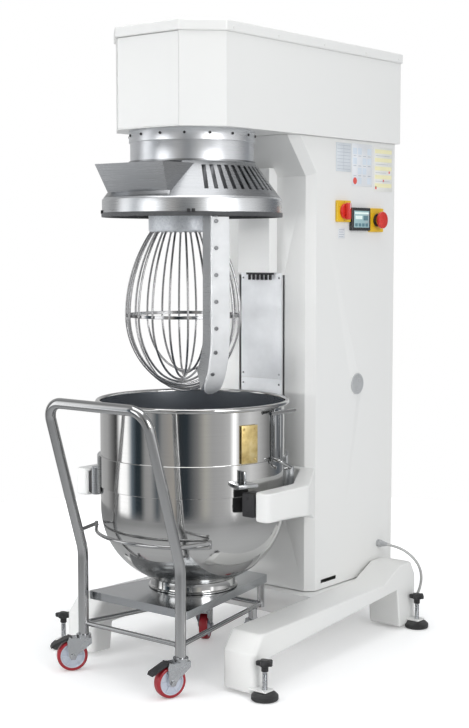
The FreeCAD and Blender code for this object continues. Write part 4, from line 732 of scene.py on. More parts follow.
LEVELLING = {"front_right": (0.435, -0.175), "front_left": (-0.435, -0.175),
             "rear_right": (0.376, 0.8), "rear_left": (-0.376, 0.8)}
LEG_PROFILE = [(-190, 12), (-190, 135), (-145, 187), (605, 187), (725, 235), (815, 235),
               (845, 187), (845, 12), (725, 12), (705, 150), (-102, 104), (-112, 12)]


def leg(hand):
    """One foot beam: an arched profile, splayed and rounded at its ends."""
    form = bmesh.new()

    def out(y):
        """How far out the splayed leg's outer side is, in millimetres."""
        return 405 - 60 * (y + 190) / 1035
    sides = []
    for shift in (0, -128):
        sides.append([form.verts.new(rel(hand * (out(y) + shift) / 1000, y / 1000, z / 1000))
                      for y, z in LEG_PROFILE])
    outer, inner = sides
    count = len(LEG_PROFILE)
    form.faces.new(outer)
    form.faces.new(inner[::-1])
    for i in range(count):
        j = (i + 1) % count
        form.faces.new((outer[j], outer[i], inner[i], inner[j]))
    bmesh.ops.recalc_face_normals(form, faces=form.faces)
    ends = [e for e in form.edges
            if abs((e.verts[0].co - e.verts[1].co).x) < 0.02
            and all(v.co.y < rel(0, -0.14, 0).y or v.co.y > rel(0, 0.81, 0).y for v in e.verts)
            and (e.verts[0].co - e.verts[1].co).length > 0.04
            and abs((e.verts[0].co - e.verts[1].co).normalized().z) > 0.6]
    bmesh.ops.bevel(form, geom=ends, offset=0.020, segments=6, affect="EDGES", profile=0.5,
                    clamp_overlap=True)
    return form


def bracket_into(form, x, y):
    """A flat bracket with a round hole for a levelling screw."""
    ring = 40
    hand = math.copysign(1, x)
    reaches = sorted((hand * 0.020, hand * -0.048))
    turns = [(math.cos(TAU * k / ring), math.sin(TAU * k / ring)) for k in range(ring)]
    rings = []
    for z in (0.027, 0.033):
        centre = rel(x, y, z)
        inner = [form.verts.new(centre + Vector((0.0081 * c, 0.0081 * s, 0))) for c, s in turns]
        outer = []
        for c, s in turns:
            reach = min(abs(reaches[c > 0] / c) if abs(c) > 1e-9 else 9,
                        abs(0.023 / s) if abs(s) > 1e-9 else 9)
            outer.append(form.verts.new(centre + Vector((reach * c, reach * s, 0))))
        rings.append((inner, outer))
    (low_in, low_out), (top_in, top_out) = rings
    for here, there in ((low_in, low_out), (low_out, top_out), (top_out, top_in),
                        (top_in, low_in)):
        skin(form, here, there)


def base():
    """Two foot beams, the beam across and the brackets."""
    for hand, name in ((1, "right"), (-1, "left")):
        piece = show("base_leg_" + name, leg(hand), "machine", "white_paint", angle=30,
                     material="cast_paint")
        rounded(piece, 0.006)
        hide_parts("base_frame")
    block("base_beam", rel(-0.27, 0.331, 0.1), rel(0.27, 0.8435, 0.1835), 0.004, "machine",
          "white_paint", material="cast_paint")
    form = bmesh.new()
    for x, y in LEVELLING.values():
        bracket_into(form, x, y)
    ears = show("base_brackets", form, "machine", "white_paint", angle=30,
                material="cast_paint")
    rounded(ears, 0.0015, 2, 40)


def levelling():
    """Four ribbed pads, threaded spindles and lobed knobs."""
    form = bmesh.new()
    for x, y in LEVELLING.values():
        profile = [(0.0001, 0), (0.036, 0), (0.0395, 0.001), (0.042, 0.004)]
        for k in range(3):
            z = 0.005 + 0.0034 * k
            profile += [(0.042, z), (0.042, z + 0.0022), (0.0412, z + 0.0028)]
        profile += [(0.0415, 0.0155), (0.040, 0.0172), (0.0335, 0.0232), (0.032, 0.024),
                    (0.016, 0.024), (0.0155, 0.0222), (0.0001, 0.0222)]
        lathe_into(form, profile, rel(x, y, 0), steps=64, closed=False)
    show("levelling_feet", form, "machine", "black_rubber", "levelling_pads")
    for name, (x, y) in LEVELLING.items():
        form = bmesh.new()
        profile = [(0.0001, 0.0245), (0.0062, 0.0245), (0.0078, 0.0262)]
        z = 0.027
        while z < 0.084:
            profile += [(0.0079, z), (0.0068, z + 0.0011)]
            z += 0.0022
        profile += [(0.0078, 0.086), (0.0078, 0.090), (0.0001, 0.090)]
        lathe_into(form, profile, rel(x, y, 0), steps=32, closed=False)
        show("spindle_" + name, form, "screw_" + name, "black_plastic", material="zinc")
        form = bmesh.new()
        rows = []
        outline = [(0.0100, 0.0), (0.0109, 0.0010), (0.0109, 0.0150), (0.0180, 0.0185),
                   (0.0225, 0.0200), (0.0232, 0.0215), (0.0232, 0.0310), (0.0218, 0.0328),
                   (0.0130, 0.0345), (0.0120, 0.0358), (0.0001, 0.0360)]
        count = 80
        for r, z in outline:
            lobe = max(0.0, (r - 0.013) / 0.0102)
            row = []
            for k in range(count):
                a = TAU * k / count
                reach = r + lobe * 0.0045 * math.cos(5 * a)
                row.append(form.verts.new(rel(x, y, 0.088 + z) + Vector(
                    (reach * math.cos(a), reach * math.sin(a), 0))))
            rows.append(row)
        for low, high in zip(rows, rows[1:]):
            skin(form, low, high)
        form.faces.new(rows[0][::-1])
        show("knob_" + name, form, "screw_" + name, "black_plastic", "levelling_screw_" + name,
             angle=50)


base()
levelling()


# --- Column, head and covers --------------------------------------------

def head_cover():
    """The head's lid: a shallow tray with rolled edges that laps over the walls."""
    half, front, back, corner = 238, -216.6, 891, 105
    outline = [(-half, back), (-half, front + corner), (-half + corner, front),
               (half - corner, front), (half, front + corner), (half, back)]
    form = prism(outline, 2.0243, 2.058)
    piece = show("head_lid_tray", form, "machine", "white_paint", "head_lid", angle=30)
    rounded(piece, 0.005, 4, 20)


PANEL_Y = 0.3657


def covers():
    """The column's shell, covers, panels and their screws, and the head's shell."""
    softened("column_shell", 0.0012)
    softened("column_rear_cover", 0.0006, 1, merged=False)
    form = bmesh.new()
    for k in range(12):
        foot = 1.180 + 0.026 * k
        hood = [(0.8800, foot + 0.0145), (0.8830, foot + 0.0105), (0.8858, foot + 0.0030),
                (0.8866, foot - 0.0010), (0.8852, foot - 0.0012), (0.8845, foot + 0.0025),
                (0.8818, foot + 0.0090), (0.8800, foot + 0.0110)]
        ends = [[form.verts.new(rel(x, y, z)) for y, z in hood] for x in (-0.113, 0.113)]
        for a, b, c, d in zip(ends[0], ends[1], ends[1][1:] + ends[1][:1],
                              ends[0][1:] + ends[0][:1]):
            form.faces.new((a, b, c, d))
        for end in ends:
            form.faces.new(end)
    show("rear_louvres", form, "machine", "white_paint", angle=25)
    softened("head_shell", 0.0012)
    head_cover()
    softened("head_front_cover", 0.0010)
    # The housing takes the paler copy of the white paint: painted light.
    softened("lift_housing", 0.0011, material="painted_light_paint")
    for name, low, high, replaced in (("upper", 0.914, 1.279, ["column_front_panel"]),
                                      ("lower", 0.440, 0.913, [])):
        block("front_panel_" + name, rel(-0.087, PANEL_Y, low),
              rel(0.087, PANEL_Y + 0.002, high), 0.0006, "machine", "polished_steel",
              *replaced, material="panel_steel")
    screws("panel_screws", [(rel(x, PANEL_Y, z), (0, -1, 0))
                            for z in (0.93, 1.262, 0.46, 0.68, 0.895)
                            for x in (-0.078, 0.078)],
           0.0036, 0.0016, "machine", "zinc")
    form = bmesh.new()
    for side in (1, -1):
        for x in (0.0905, 0.0995):
            box_into(form, rel(side * x - 0.0013, 0.3686, 0.4405),
                     rel(side * x + 0.0013, 0.3702, 1.2715), bevel=0.0004)
    show("slot_lips", form, "machine", "grey_plastic")
    screws("rear_screws", [(rel(x, 0.88, 0.24 + 0.235 * k), (0, 1, 0)) for k in range(7)
                           for x in (-0.198, 0.198)], 0.005, 0.0025, "machine", "zinc")
    screws("lid_screws", [(rel(side * 0.238, y, 2.038), (side, 0, 0)) for side in (-1, 1)
                          for y in (-0.08, 0.15, 0.4, 0.65, 0.86)],
           0.0042, 0.0018, "machine", "white_paint")


def vent_port():
    """The round louvred cap low on the column's right side."""
    centre = rel(0.2161, 0.642, 0.886)
    profile = [(0.0001, 0.0), (0.0375, 0.0), (0.0375, 0.0022), (0.0360, 0.0034),
               (0.0318, 0.0034), (0.0310, 0.0014)]
    for k in range(4):
        r = 0.0275 - 0.0068 * k
        profile += [(r + 0.0018, 0.0014), (r + 0.0012, 0.0029), (r - 0.0012, 0.0029),
                    (r - 0.0018, 0.0014)]
    profile += [(0.0001, 0.0014)]
    lathe("vent_cap", profile, centre, "machine", "grey_plastic", axis=TO_RIGHT, steps=72,
          closed=False)


GOLDEN_ANGLE = 2.39996


def brush():
    """Six tufts of bristles under the lift housing."""
    lines = []
    for tuft in range(6):
        for k in range(36):
            r = 0.0052 * math.sqrt((k + 0.5) / 36)
            a = k * GOLDEN_ANGLE
            foot = rel((-40 + 18 * tuft) / 1000 + r * math.cos(a), 0.352 + r * math.sin(a),
                       1.2735)
            lean = Vector((math.cos(a), math.sin(a), 0)) * r * 0.12
            drop = 0.0175 - 0.0012 * math.cos(k * 1.7)
            lines.append([foot, foot - Vector((0, 0, drop * 0.6)) + lean * 0.4,
                          foot - Vector((0, 0, drop)) + lean])
    rods("bristles", lines, 0.00042, 1, "machine", "brush_black", "housing_brush")
    block("brush_strip", rel(-0.050, 0.3442, 1.2731), rel(0.060, 0.3598, 1.2806), 0.0012,
          "machine", "brush_black", material="black_plastic")


covers()
vent_port()
brush()


# --- Gearbox, guard and seal --------------------------------------------

def gearbox():
    """The satin drum under the head and its ring of screws."""
    profile = [(0.193, 1.636), (0.1975, 1.636), (0.199, 1.6375), (0.199, 1.699), (0.1996, 1.7),
               (0.2022, 1.7), (0.203, 1.7008), (0.203, 1.7365), (0.2022, 1.7377),
               (0.099, 1.7377), (0.099, 1.8), (0.047, 1.8), (0.047, 1.726), (0.193, 1.726)]
    lathe("gearbox_case", profile, CENTRE, "machine", "drum_paint", "gearbox_drum",
          steps=192)
    ways = [math.radians(-101 + 22.5 * k) for k in range(16)]
    ways = [Vector((math.cos(a), math.sin(a), 0)) for a in ways]
    screws("gearbox_screws", [(rel(0, 0, 1.7215) + way * 0.2026, way) for way in ways],
           0.0042, 0.004, "machine", "drum_paint", material="black_plastic")


CONE_FOOT, CONE_HEAD, SHEET = (0.286, 1.525), (0.204, 1.636), 0.003
SLOT_FOOT, SLOT_TOP = 0.270, 0.214


def cone_height(radius):
    """The height of the guard's cone where it has a radius."""
    share = (CONE_FOOT[0] - radius) / (CONE_FOOT[0] - CONE_HEAD[0])
    return CONE_FOOT[1] + share * (CONE_HEAD[1] - CONE_FOOT[1])


def cone_radius(height):
    """The radius of the guard's cone at a height."""
    return CONE_FOOT[0] - (height - CONE_FOOT[1]) * (CONE_FOOT[0] - CONE_HEAD[0]) / (
        CONE_HEAD[1] - CONE_FOOT[1])


def slot_angle(half, radius):
    """The angle that half a slot's width takes up at a radius."""
    return math.degrees(math.asin(half / min(max(radius, SLOT_TOP), SLOT_FOOT)))


def slotted_cone():
    """The cone as a grid whose empty cells are the vent slots and the chute's window."""
    rows = (CONE_FOOT[0], SLOT_FOOT, SLOT_TOP, CONE_HEAD[0])
    holes = [(-90, 0.114)]
    for k in range(10):
        holes += [(-40 + 6.6 * k, 0.0065), (220 - 6.6 * k, 0.0065)]
    holes.sort()
    columns, empty = [], set()
    for n, (middle, half) in enumerate(holes):
        after, after_half = holes[(n + 1) % len(holes)]
        after += 360 if n + 1 == len(holes) else 0
        start = [middle + slot_angle(half, r) for r in rows]
        stop = [after - slot_angle(after_half, r) for r in rows]
        columns.append(start)
        cells = max(1, int((stop[0] - start[0]) / 2.2))
        for k in range(1, cells + 1):
            columns.append([a + (b - a) * k / cells for a, b in zip(start, stop)])
        empty.add(len(columns) - 1)
    form = bmesh.new()
    skins = []
    for inset in (0, SHEET):
        skins.append([[form.verts.new(around_axis(r - inset, a, cone_height(r) - 0.4 * inset))
                       for r, a in zip(rows, column)] for column in columns])
    outer, inner = skins
    count = len(columns)
    for n in range(count):
        after = (n + 1) % count
        for k in (0, 2) if n in empty else (0, 1, 2):
            for side in skins:
                form.faces.new((side[n][k], side[after][k], side[after][k + 1], side[n][k + 1]))
        if n in empty:
            for column in (n, after):
                form.faces.new((outer[column][1], outer[column][2], inner[column][2],
                                inner[column][1]))
        for k in (0, 1, 2, 3) if n in empty else (0, 3):
            form.faces.new((outer[n][k], outer[after][k], inner[after][k], inner[n][k]))
    return mesh_of(form, "slotted_cone", 25)


def chute_walls():
    """The ingredient chute: a front and two sides that flare out to its open top."""
    form = bmesh.new()
    levels = [(0.126 + 0.016 * k / 6, 0.262 + 0.040 * k / 6, 1.541 + 0.086 * k / 6)
              for k in range(7)]
    skins = []
    for inset in (0, SHEET):
        rings = []
        for half, reach, z in levels:
            radius = cone_radius(z) - 0.0008
            x, y = half - inset, reach - inset
            root = min(math.sqrt(radius ** 2 - x ** 2), y - 0.002)
            rings.append([form.verts.new(rel(*p)) for p in
                          ((-x, -root, z), (-x, -y, z), (x, -y, z), (x, -root, z))])
        skins.append(rings)
    for rings in skins:
        for low, high in zip(rings, rings[1:]):
            skin(form, low, high, closed=False)
    for end in (0, -1):
        skin(form, skins[0][end], skins[1][end], closed=False)
    for k in (0, 3):
        skin(form, *([ring[k] for ring in rings] for rings in skins), closed=False)
    return mesh_of(form, "chute_walls", 25)


def guard():
    """The bowl guard: cone, chute, ring, neck, rubber edge and its clips."""
    # The cone, chute and neck take the darker copy of the guard's steel: painted shade.
    piece = publish("slotted_cone", slotted_cone(), "machine", "brushed_steel", "guard_cone",
                    material="painted_shade_cone_steel")
    # Faces that look in toward the axis take the near-black steel: painted shade inside the guard.
    piece.data.materials.append(M["painted_shade_steel"])
    for face in piece.data.polygons:
        out = Vector((face.center.x, face.center.y - AXIS_Y, 0))
        if face.normal.dot(out) < -0.02:
            face.material_index = 1
    publish("ingredient_chute", chute_walls(), "machine", "brushed_steel",
            material="painted_shade_cone_steel")
    ring = [(0.288, 1.478), (0.291, 1.478), (0.291, 1.5182), (0.2904, 1.5200),
            (0.2866, 1.5243), (0.286, 1.525), (0.2828, 1.5238), (0.288, 1.5175)]
    lathe("guard_ring", ring, CENTRE, "machine", "brushed_steel", steps=192,
          material="guard_steel")
    lathe("guard_neck", [(0.201, 1.6345), (0.204, 1.636), (0.204, 1.641), (0.201, 1.641)],
          CENTRE, "machine", "brushed_steel", steps=192, material="painted_shade_cone_steel")
    profile = [(0.283, 1.4652), (0.2842, 1.464), (0.2918, 1.464), (0.293, 1.4655),
               (0.293, 1.4762), (0.2920, 1.4777), (0.283, 1.4777)]
    lathe("rim_seal", profile, CENTRE, "machine", "white_seal", "guard_seal", steps=192)
    form = bmesh.new()
    for angle in (-51.5, -48.6, 51, 129, 231):
        turn = about_bowl(angle)
        box_into(form, (0.2912, -0.0052, 1.4745), (0.2965, 0.0052, 1.4858), turn, bevel=0.0012)
    show("seal_clips", form, "machine", "black_plastic")


gearbox()
guard()


# --- Whisk and scraper --------------------------------------------------

PLANET_ANGLE = 148.2  # degrees, where the whisk stands round the bowl's axis
PLANET_WAY = math.radians(PLANET_ANGLE)
WHISK = rel(0.1 * math.cos(PLANET_WAY), 0.1 * math.sin(PLANET_WAY), 0)
LOOPS = 10
LOOP_TURN = math.radians(9.5)


def whisk_half(depth):
    """One side of a wire loop as (radius, height), from the hub down to the axis."""
    widest, middle, top, rise = 0.190, 1.143, 0.106, 0.275
    run = widest - top
    upper = (run * run + rise * rise) / (2 * run)
    bend = math.radians(47)
    blunt = (1 - math.sin(bend)) / math.cos(bend)
    lower = (depth - blunt * widest) / (math.sin(bend) - blunt * (1 - math.cos(bend)))
    tip = (widest - lower * (1 - math.cos(bend))) / math.cos(bend)
    line = []
    lift = math.asin(rise / upper)
    for k in range(15):
        a = -lift * (1 - k / 14)
        line.append((widest - upper + upper * math.cos(a), middle - upper * math.sin(a)))
    for k in range(1, 13):
        a = bend * k / 12
        line.append((widest - lower + lower * math.cos(a), middle - lower * math.sin(a)))
    centre_z = middle - lower * math.sin(bend) + tip * math.sin(bend)
    for k in range(1, 15):
        a = bend + (math.pi / 2 - bend) * k / 14
        line.append((tip * math.cos(a), centre_z - tip * math.sin(a)))
    return line


def whisk():
    """Wire loops, the band and welds that hold them, and the hub."""
    lines = []
    for k in range(LOOPS):
        half = whisk_half(0.252 - 0.0076 * k)
        whole = half + [(-r, z) for r, z in half[-2::-1]]
        a = LOOP_TURN + math.pi * k / LOOPS
        lines.append([WHISK + Vector((r * math.cos(a), r * math.sin(a), z)) for r, z in whole])
    rods("whisk_wire", lines, 0.0036, 5, "whisk", "polished_steel", "whisk_wires",
         material="wire_steel")
    inner = 0.186
    band = [(inner - 0.003, 1.1380), (inner - 0.0022, 1.1376), (inner - 0.0006, 1.1376),
            (inner, 1.1384), (inner, 1.1476), (inner - 0.0006, 1.1484),
            (inner - 0.0022, 1.1484), (inner - 0.003, 1.1480)]
    lathe("whisk_band", band, WHISK, "whisk", "polished_steel", steps=144,
          material="wire_steel")
    form = bmesh.new()
    for k in range(2 * LOOPS):
        a = LOOP_TURN + math.pi * k / LOOPS
        way = Vector((math.cos(a), math.sin(a), 0))
        lathe_into(form, arc_points((0, 0), 0.0021, -90, 90, 6),
                   WHISK + way * (inner + 0.0004) + Vector((0, 0, 1.1384)), UP, 12,
                   closed=False)
        lathe_into(form, [(0.0034, 0), (0.0052, -0.0004), (0.0050, -0.0022), (0.0036, -0.0048)],
                   WHISK + way * 0.1062 + Vector((0, 0, 1.4186)), UP, 16, closed=False)
    show("whisk_welds", form, "whisk", "polished_steel", angle=60, material="wire_steel")
    top = [(0.0001, 1.418), (0.108, 1.418), (0.1115, 1.4192), (0.1135, 1.422), (0.114, 1.426),
           (0.114, 1.483), (0.1132, 1.486), (0.111, 1.488), (0.060, 1.488), (0.058, 1.4872),
           (0.0001, 1.4872)]
    lathe("whisk_head", top, WHISK, "whisk", "alloy", "whisk_hub", steps=128, closed=False)
    collar = [(0.0255, 1.4873), (0.041, 1.4873), (0.0425, 1.489), (0.0425, 1.503),
              (0.040, 1.5055), (0.0255, 1.5055)]
    lathe("whisk_collar", collar, WHISK, "whisk", "brushed_steel", steps=96)
    softened("whisk_shaft", 0.0004, 1)


def scraper():
    """The blade follows the bowl's line; its back is the bolted arm's face."""
    outer, thick, bend, centre = 0.288, 0.012, 1.104, 0.048
    path = [(outer - thick / 2, 1.461 - 0.357 * k / 12, 0.0) for k in range(12)]
    size = outer - thick / 2 - centre
    for k in range(19):
        a = math.radians(56 * k / 18)
        path.append((centre + size * math.cos(a), bend - size * math.sin(a), a))
    form = bmesh.new()
    side_way = math.radians(PLANET_ANGLE - 180)
    along = Vector((math.cos(side_way), math.sin(side_way), 0))
    across = Vector((-math.sin(side_way), math.cos(side_way), 0))
    rings = []
    last = len(path) - 1
    for index, (r, z, lean) in enumerate(path):
        half_w, half_t = 0.030, thick / 2
        near_end = index - (last - 5)
        if near_end > 0:
            half_w *= math.sqrt(max(0.08, 1 - (near_end / 5.2) ** 2.4))
            half_t *= math.sqrt(max(0.25, 1 - (near_end / 5.4) ** 3))
        if index == 0:
            half_w, half_t = half_w - 0.002, half_t - 0.002
        out = along * math.cos(lean) - Vector((0, 0, math.sin(lean)))
        middle = CENTRE + along * r + Vector((0, 0, z))
        ring = []
        round_ = min(0.0045, half_t * 0.95, half_w * 0.95)
        for corner in range(4):
            sx = (1, -1, -1, 1)[corner]
            sy = (1, 1, -1, -1)[corner]
            for step in range(5):
                a = math.radians(90 * corner + 22.5 * step)
                x = sx * (half_w - round_) + round_ * math.cos(a)
                y = sy * (half_t - round_) + round_ * math.sin(a)
                ring.append(form.verts.new(middle + across * x + out * y))
        rings.append(ring)
    for here, there in zip(rings, rings[1:]):
        skin(form, here, there)
    form.faces.new(rings[0])
    form.faces.new(rings[-1][::-1])
    show("scraper_plate", form, "planet", "blade_plastic", "scraper_blade", angle=50)
    softened("scraper_arm", 0.0012)
    start = CENTRE + across * -0.015
    spots = [(start + along * outer + Vector((0, 0, 1.448 - 0.082 * k)), along)
             for k in range(5)]
    for degrees in (14, 32):
        a = math.radians(degrees)
        out = along * math.cos(a) - Vector((0, 0, math.sin(a)))
        spots.append((start + along * centre + out * (outer - centre) + Vector((0, 0, bend)), out))
    screws("scraper_screws", spots, 0.0062, 0.0038, "planet", "brushed_steel",
           "scraper_bolts", material="cast_iron")
    # The carrier takes the same near-black steel: painted shade under the guard.
    softened("planet_carrier", 0.002, 2, material="painted_shade_steel")


whisk()
scraper()


# --- Yoke and lift ------------------------------------------------------

def yoke():
    """The lifting fork: a cast beam with two arms, deeper at its root."""
    half = [(415, -130), (415, 84), (235, 363)]
    inner = [(190, 335), (355, 72), (355, -130)]
    plan = half + [(-x, y) for x, y in reversed(half)] + [(-x, y) for x, y in reversed(inner)]
    plan += inner
    form = bmesh.new()
    form.faces.new([form.verts.new(mm(x, y, 0)) for x, y in plan])
    for y in (0.0, 0.13):
        geom = form.verts[:] + form.edges[:] + form.faces[:]
        bmesh.ops.bisect_plane(form, geom=geom, plane_co=rel(0, y, 0), plane_no=(0, 1, 0))
    made = bmesh.ops.extrude_face_region(form, geom=form.faces[:])["geom"]
    top = {v for v in made if isinstance(v, bmesh.types.BMVert)}

    def under(y):
        """The height of the fork's underside."""
        spans = [(-0.14, 0.530), (0.0, 0.535), (0.13, 0.516), (0.368, 0.446)]
        for (y0, z0), (y1, z1) in zip(spans, spans[1:]):
            if y <= y1 + 1e-6:
                return z0 + (z1 - z0) * (y - y0) / (y1 - y0)
        return spans[-1][1]
    for v in form.verts:
        v.co.z = 0.621 if v in top else under(v.co.y - AXIS_Y)
    bmesh.ops.recalc_face_normals(form, faces=form.faces)
    bmesh.ops.dissolve_limit(form, angle_limit=math.radians(0.5), verts=form.verts,
                             edges=form.edges)
    uprights = [e for e in form.edges
                if (e.verts[0].co - e.verts[1].co).length > 0.05
                and abs((e.verts[0].co - e.verts[1].co).normalized().z) > 0.99
                and len(e.link_faces) == 2
                and e.calc_face_angle(0) > math.radians(15)
                and max(v.co.y for v in e.verts) < rel(0, 0.36, 0).y]
    bmesh.ops.bevel(form, geom=uprights, offset=0.019, segments=6, affect="EDGES", profile=0.5,
                    clamp_overlap=True)
    piece = show("lift_yoke", form, "lift", "white_paint", "yoke", angle=30,
                 material="cast_paint")
    rounded(piece, 0.006, 3)
    form = bmesh.new()
    for hand in (1, -1):
        low, high = sorted((hand * 0.309, hand * 0.3548))
        box_into(form, rel(low, -0.130, 0.540), rel(high, -0.072, 0.615), bevel=0.005)
        for z in (0.556, 0.599):
            capped_screw(form, rel(hand * 0.332, -0.130, z), Vector((0, -1, 0)), 0.006, 0.001)
    show("yoke_cushions", form, "lift", "black_plastic", "yoke_pads", angle=40)


yoke()


# --- Bowl ---------------------------------------------------------------

def bowl_outline(inset):
    """The bowl's wall as (radius, height), from the rim down to the axis."""
    radius, knuckle = 0.302 - inset, 0.245 - inset
    centre, start, angle = radius - knuckle, 0.522, math.radians(55)
    line = [(radius, 0.868 - 0.346 * k / 8) for k in range(8)]
    for k in range(25):
        a = angle * k / 24
        line.append((centre + knuckle * math.cos(a), start - knuckle * math.sin(a)))
    meet_r, meet_z = line[-1]
    dish = meet_r / math.cos(angle)
    dish_z = meet_z + dish * math.sin(angle)
    for k in range(1, 25):
        a = angle + (math.pi / 2 - angle) * k / 24
        line.append((max(dish * math.cos(a), 0.0001), dish_z - dish * math.sin(a)))
    return line


def bowl():
    """The bowl, its rim, band and foot ring, and the fittings of both sides."""
    form = bmesh.new()
    lathe_into(form, bowl_outline(0), CENTRE, steps=224, closed=False)
    lathe_into(form, bowl_outline(0.003)[::-1], CENTRE, steps=224, closed=False)
    mesh = mesh_of(form, "bowl_wall", 40)
    publish("bowl_wall", mesh, "bowl", "polished_steel", "bowl_shell", material="bowl_steel")
    mesh.materials.append(M["bowl_inside"])
    form = bmesh.new()
    form.from_mesh(mesh)
    for face in form.faces[:][len(form.faces) // 2:]:
        face.material_index = 1
        if face.normal.dot(face.calc_center_median() - rel(0, 0, 0.9)) > 0:
            face.normal_flip()
    form.to_mesh(mesh)
    form.free()
    rim = arc_points((0.31005, 0.868), 0.008, 0, 360, 20)[:-1]
    lathe("bowl_rim", rim, CENTRE, "bowl", "brushed_steel", "bowl_fittings", steps=224,
          material="bowl_steel")
    out = 0.306
    band = [(0.30205, 0.595), (out - 0.0012, 0.595), (out, 0.5962), (out, 0.6948),
            (out - 0.0012, 0.696), (0.30205, 0.696)]
    lathe("bowl_band", band, CENTRE, "bowl", "brushed_steel", steps=224,
          material="bowl_steel")
    foot = [(0.135, 0.2557), (0.1445, 0.2557), (0.1468, 0.2572), (0.1468, 0.2595),
            (0.1440, 0.2610), (0.1402, 0.2625), (0.139, 0.266), (0.139, 0.2868),
            (0.1415, 0.2888), (0.1362, 0.2888), (0.135, 0.285)]
    lathe("bowl_foot", foot, CENTRE, "bowl", "brushed_steel", steps=160,
          material="bowl_steel")
    for side, name in ((0, "right"), (180, "left")):
        bowl_side(side, name)


def curved_plate_into(form, inner, outer, low, high, centre_angle, half_angle):
    """A plate bent about the bowl's axis."""
    cells = 16
    angles = [centre_angle - half_angle + 2 * half_angle * k / cells for k in range(cells + 1)]
    rings = [[form.verts.new(around_axis(r, a, z)) for r, z in
              ((inner, low), (outer, low), (outer, high), (inner, high))] for a in angles]
    for here, there in zip(rings, rings[1:]):
        skin(form, here, there)
    form.faces.new(rings[0][::-1])
    form.faces.new(rings[-1])


def bowl_side(side, name):
    """Lug, lifting bracket, handle and brass wear plate of one side."""
    turn = about_bowl(side)
    form = bmesh.new()
    curved_plate_into(form, 0.3055, 0.313, 0.572, 0.694, side + 39, 13)
    piece = show("lug_plate_" + name, form, "bowl", "brushed_steel")
    rounded(piece, 0.0016, 2)
    boss = [(0.0075, 0), (0.0138, 0), (0.015, 0.0015), (0.015, 0.0905), (0.0138, 0.092),
            (0.0075, 0.092)]
    lathe("lug_boss_" + name, boss, around_axis(0.318, side + 39, 0.558), "bowl",
          "brushed_steel", steps=48)
    form = bmesh.new()
    shelf_turn = turn @ Matrix.Rotation(math.radians(-20), 4, "Z")
    box_into(form, (0.3026, -0.035, 0.628), (0.350, 0.035, 0.640), shelf_turn, bevel=0.0015)
    box_into(form, (0.3026, -0.004, 0.6401), (0.330, 0.004, 0.678), shelf_turn, bevel=0.001)
    for y in (0.036, 0.062):
        box_into(form, (0.3056, y, 0.690), (0.3112, y + 0.016, 0.840), turn, bevel=0.0012)
        box_into(form, (0.304, y + 0.002, 0.8425), (0.324, y + 0.014, 0.8540), turn,
                 bevel=0.002)
    show("bowl_bracket_" + name, form, "bowl", "brushed_steel", material="plate_steel")
    lines = [[turn @ Vector((0.320, 0.001, 0.848)), turn @ Vector((0.320, 0.129, 0.848))]]
    low = [(0.309, 0.034, 0.700), (0.336, 0.034, 0.694), (0.336, 0.092, 0.668),
           (0.309, 0.092, 0.662)]
    lines.append([turn @ p for p in bent_line(low, [0.012, 0.012], 8)])
    rods("bowl_handle_" + name, lines, 0.0058, 6, "bowl", "brushed_steel",
         material="tube_steel")
    form = bmesh.new()
    plate_turn = turn @ Matrix.Rotation(math.radians(-14.5), 4, "Z")
    box_into(form, (0.3033, -0.031, 0.698), (0.3093, 0.031, 0.818), plate_turn, bevel=0.0014)
    for z in (0.710, 0.806):
        for y in (-0.022, 0.022):
            capped_screw(form, plate_turn @ Vector((0.3091, y, z)),
                         plate_turn.to_3x3() @ Vector((1, 0, 0)), 0.0038, 0.002)
    piece = show("wear_plate_" + name, form, "bowl", "brass")
    if side == 0:
        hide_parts("bowl_wear_plates")


bowl()


# --- Trolley ------------------------------------------------------------

def weld(form, place, way, inner, size=0.0028):
    """A rippled bead round a joint."""
    profile = arc_points((inner, 0), size, -60, 240, 8)
    lathe_into(form, profile, place, way, 28)


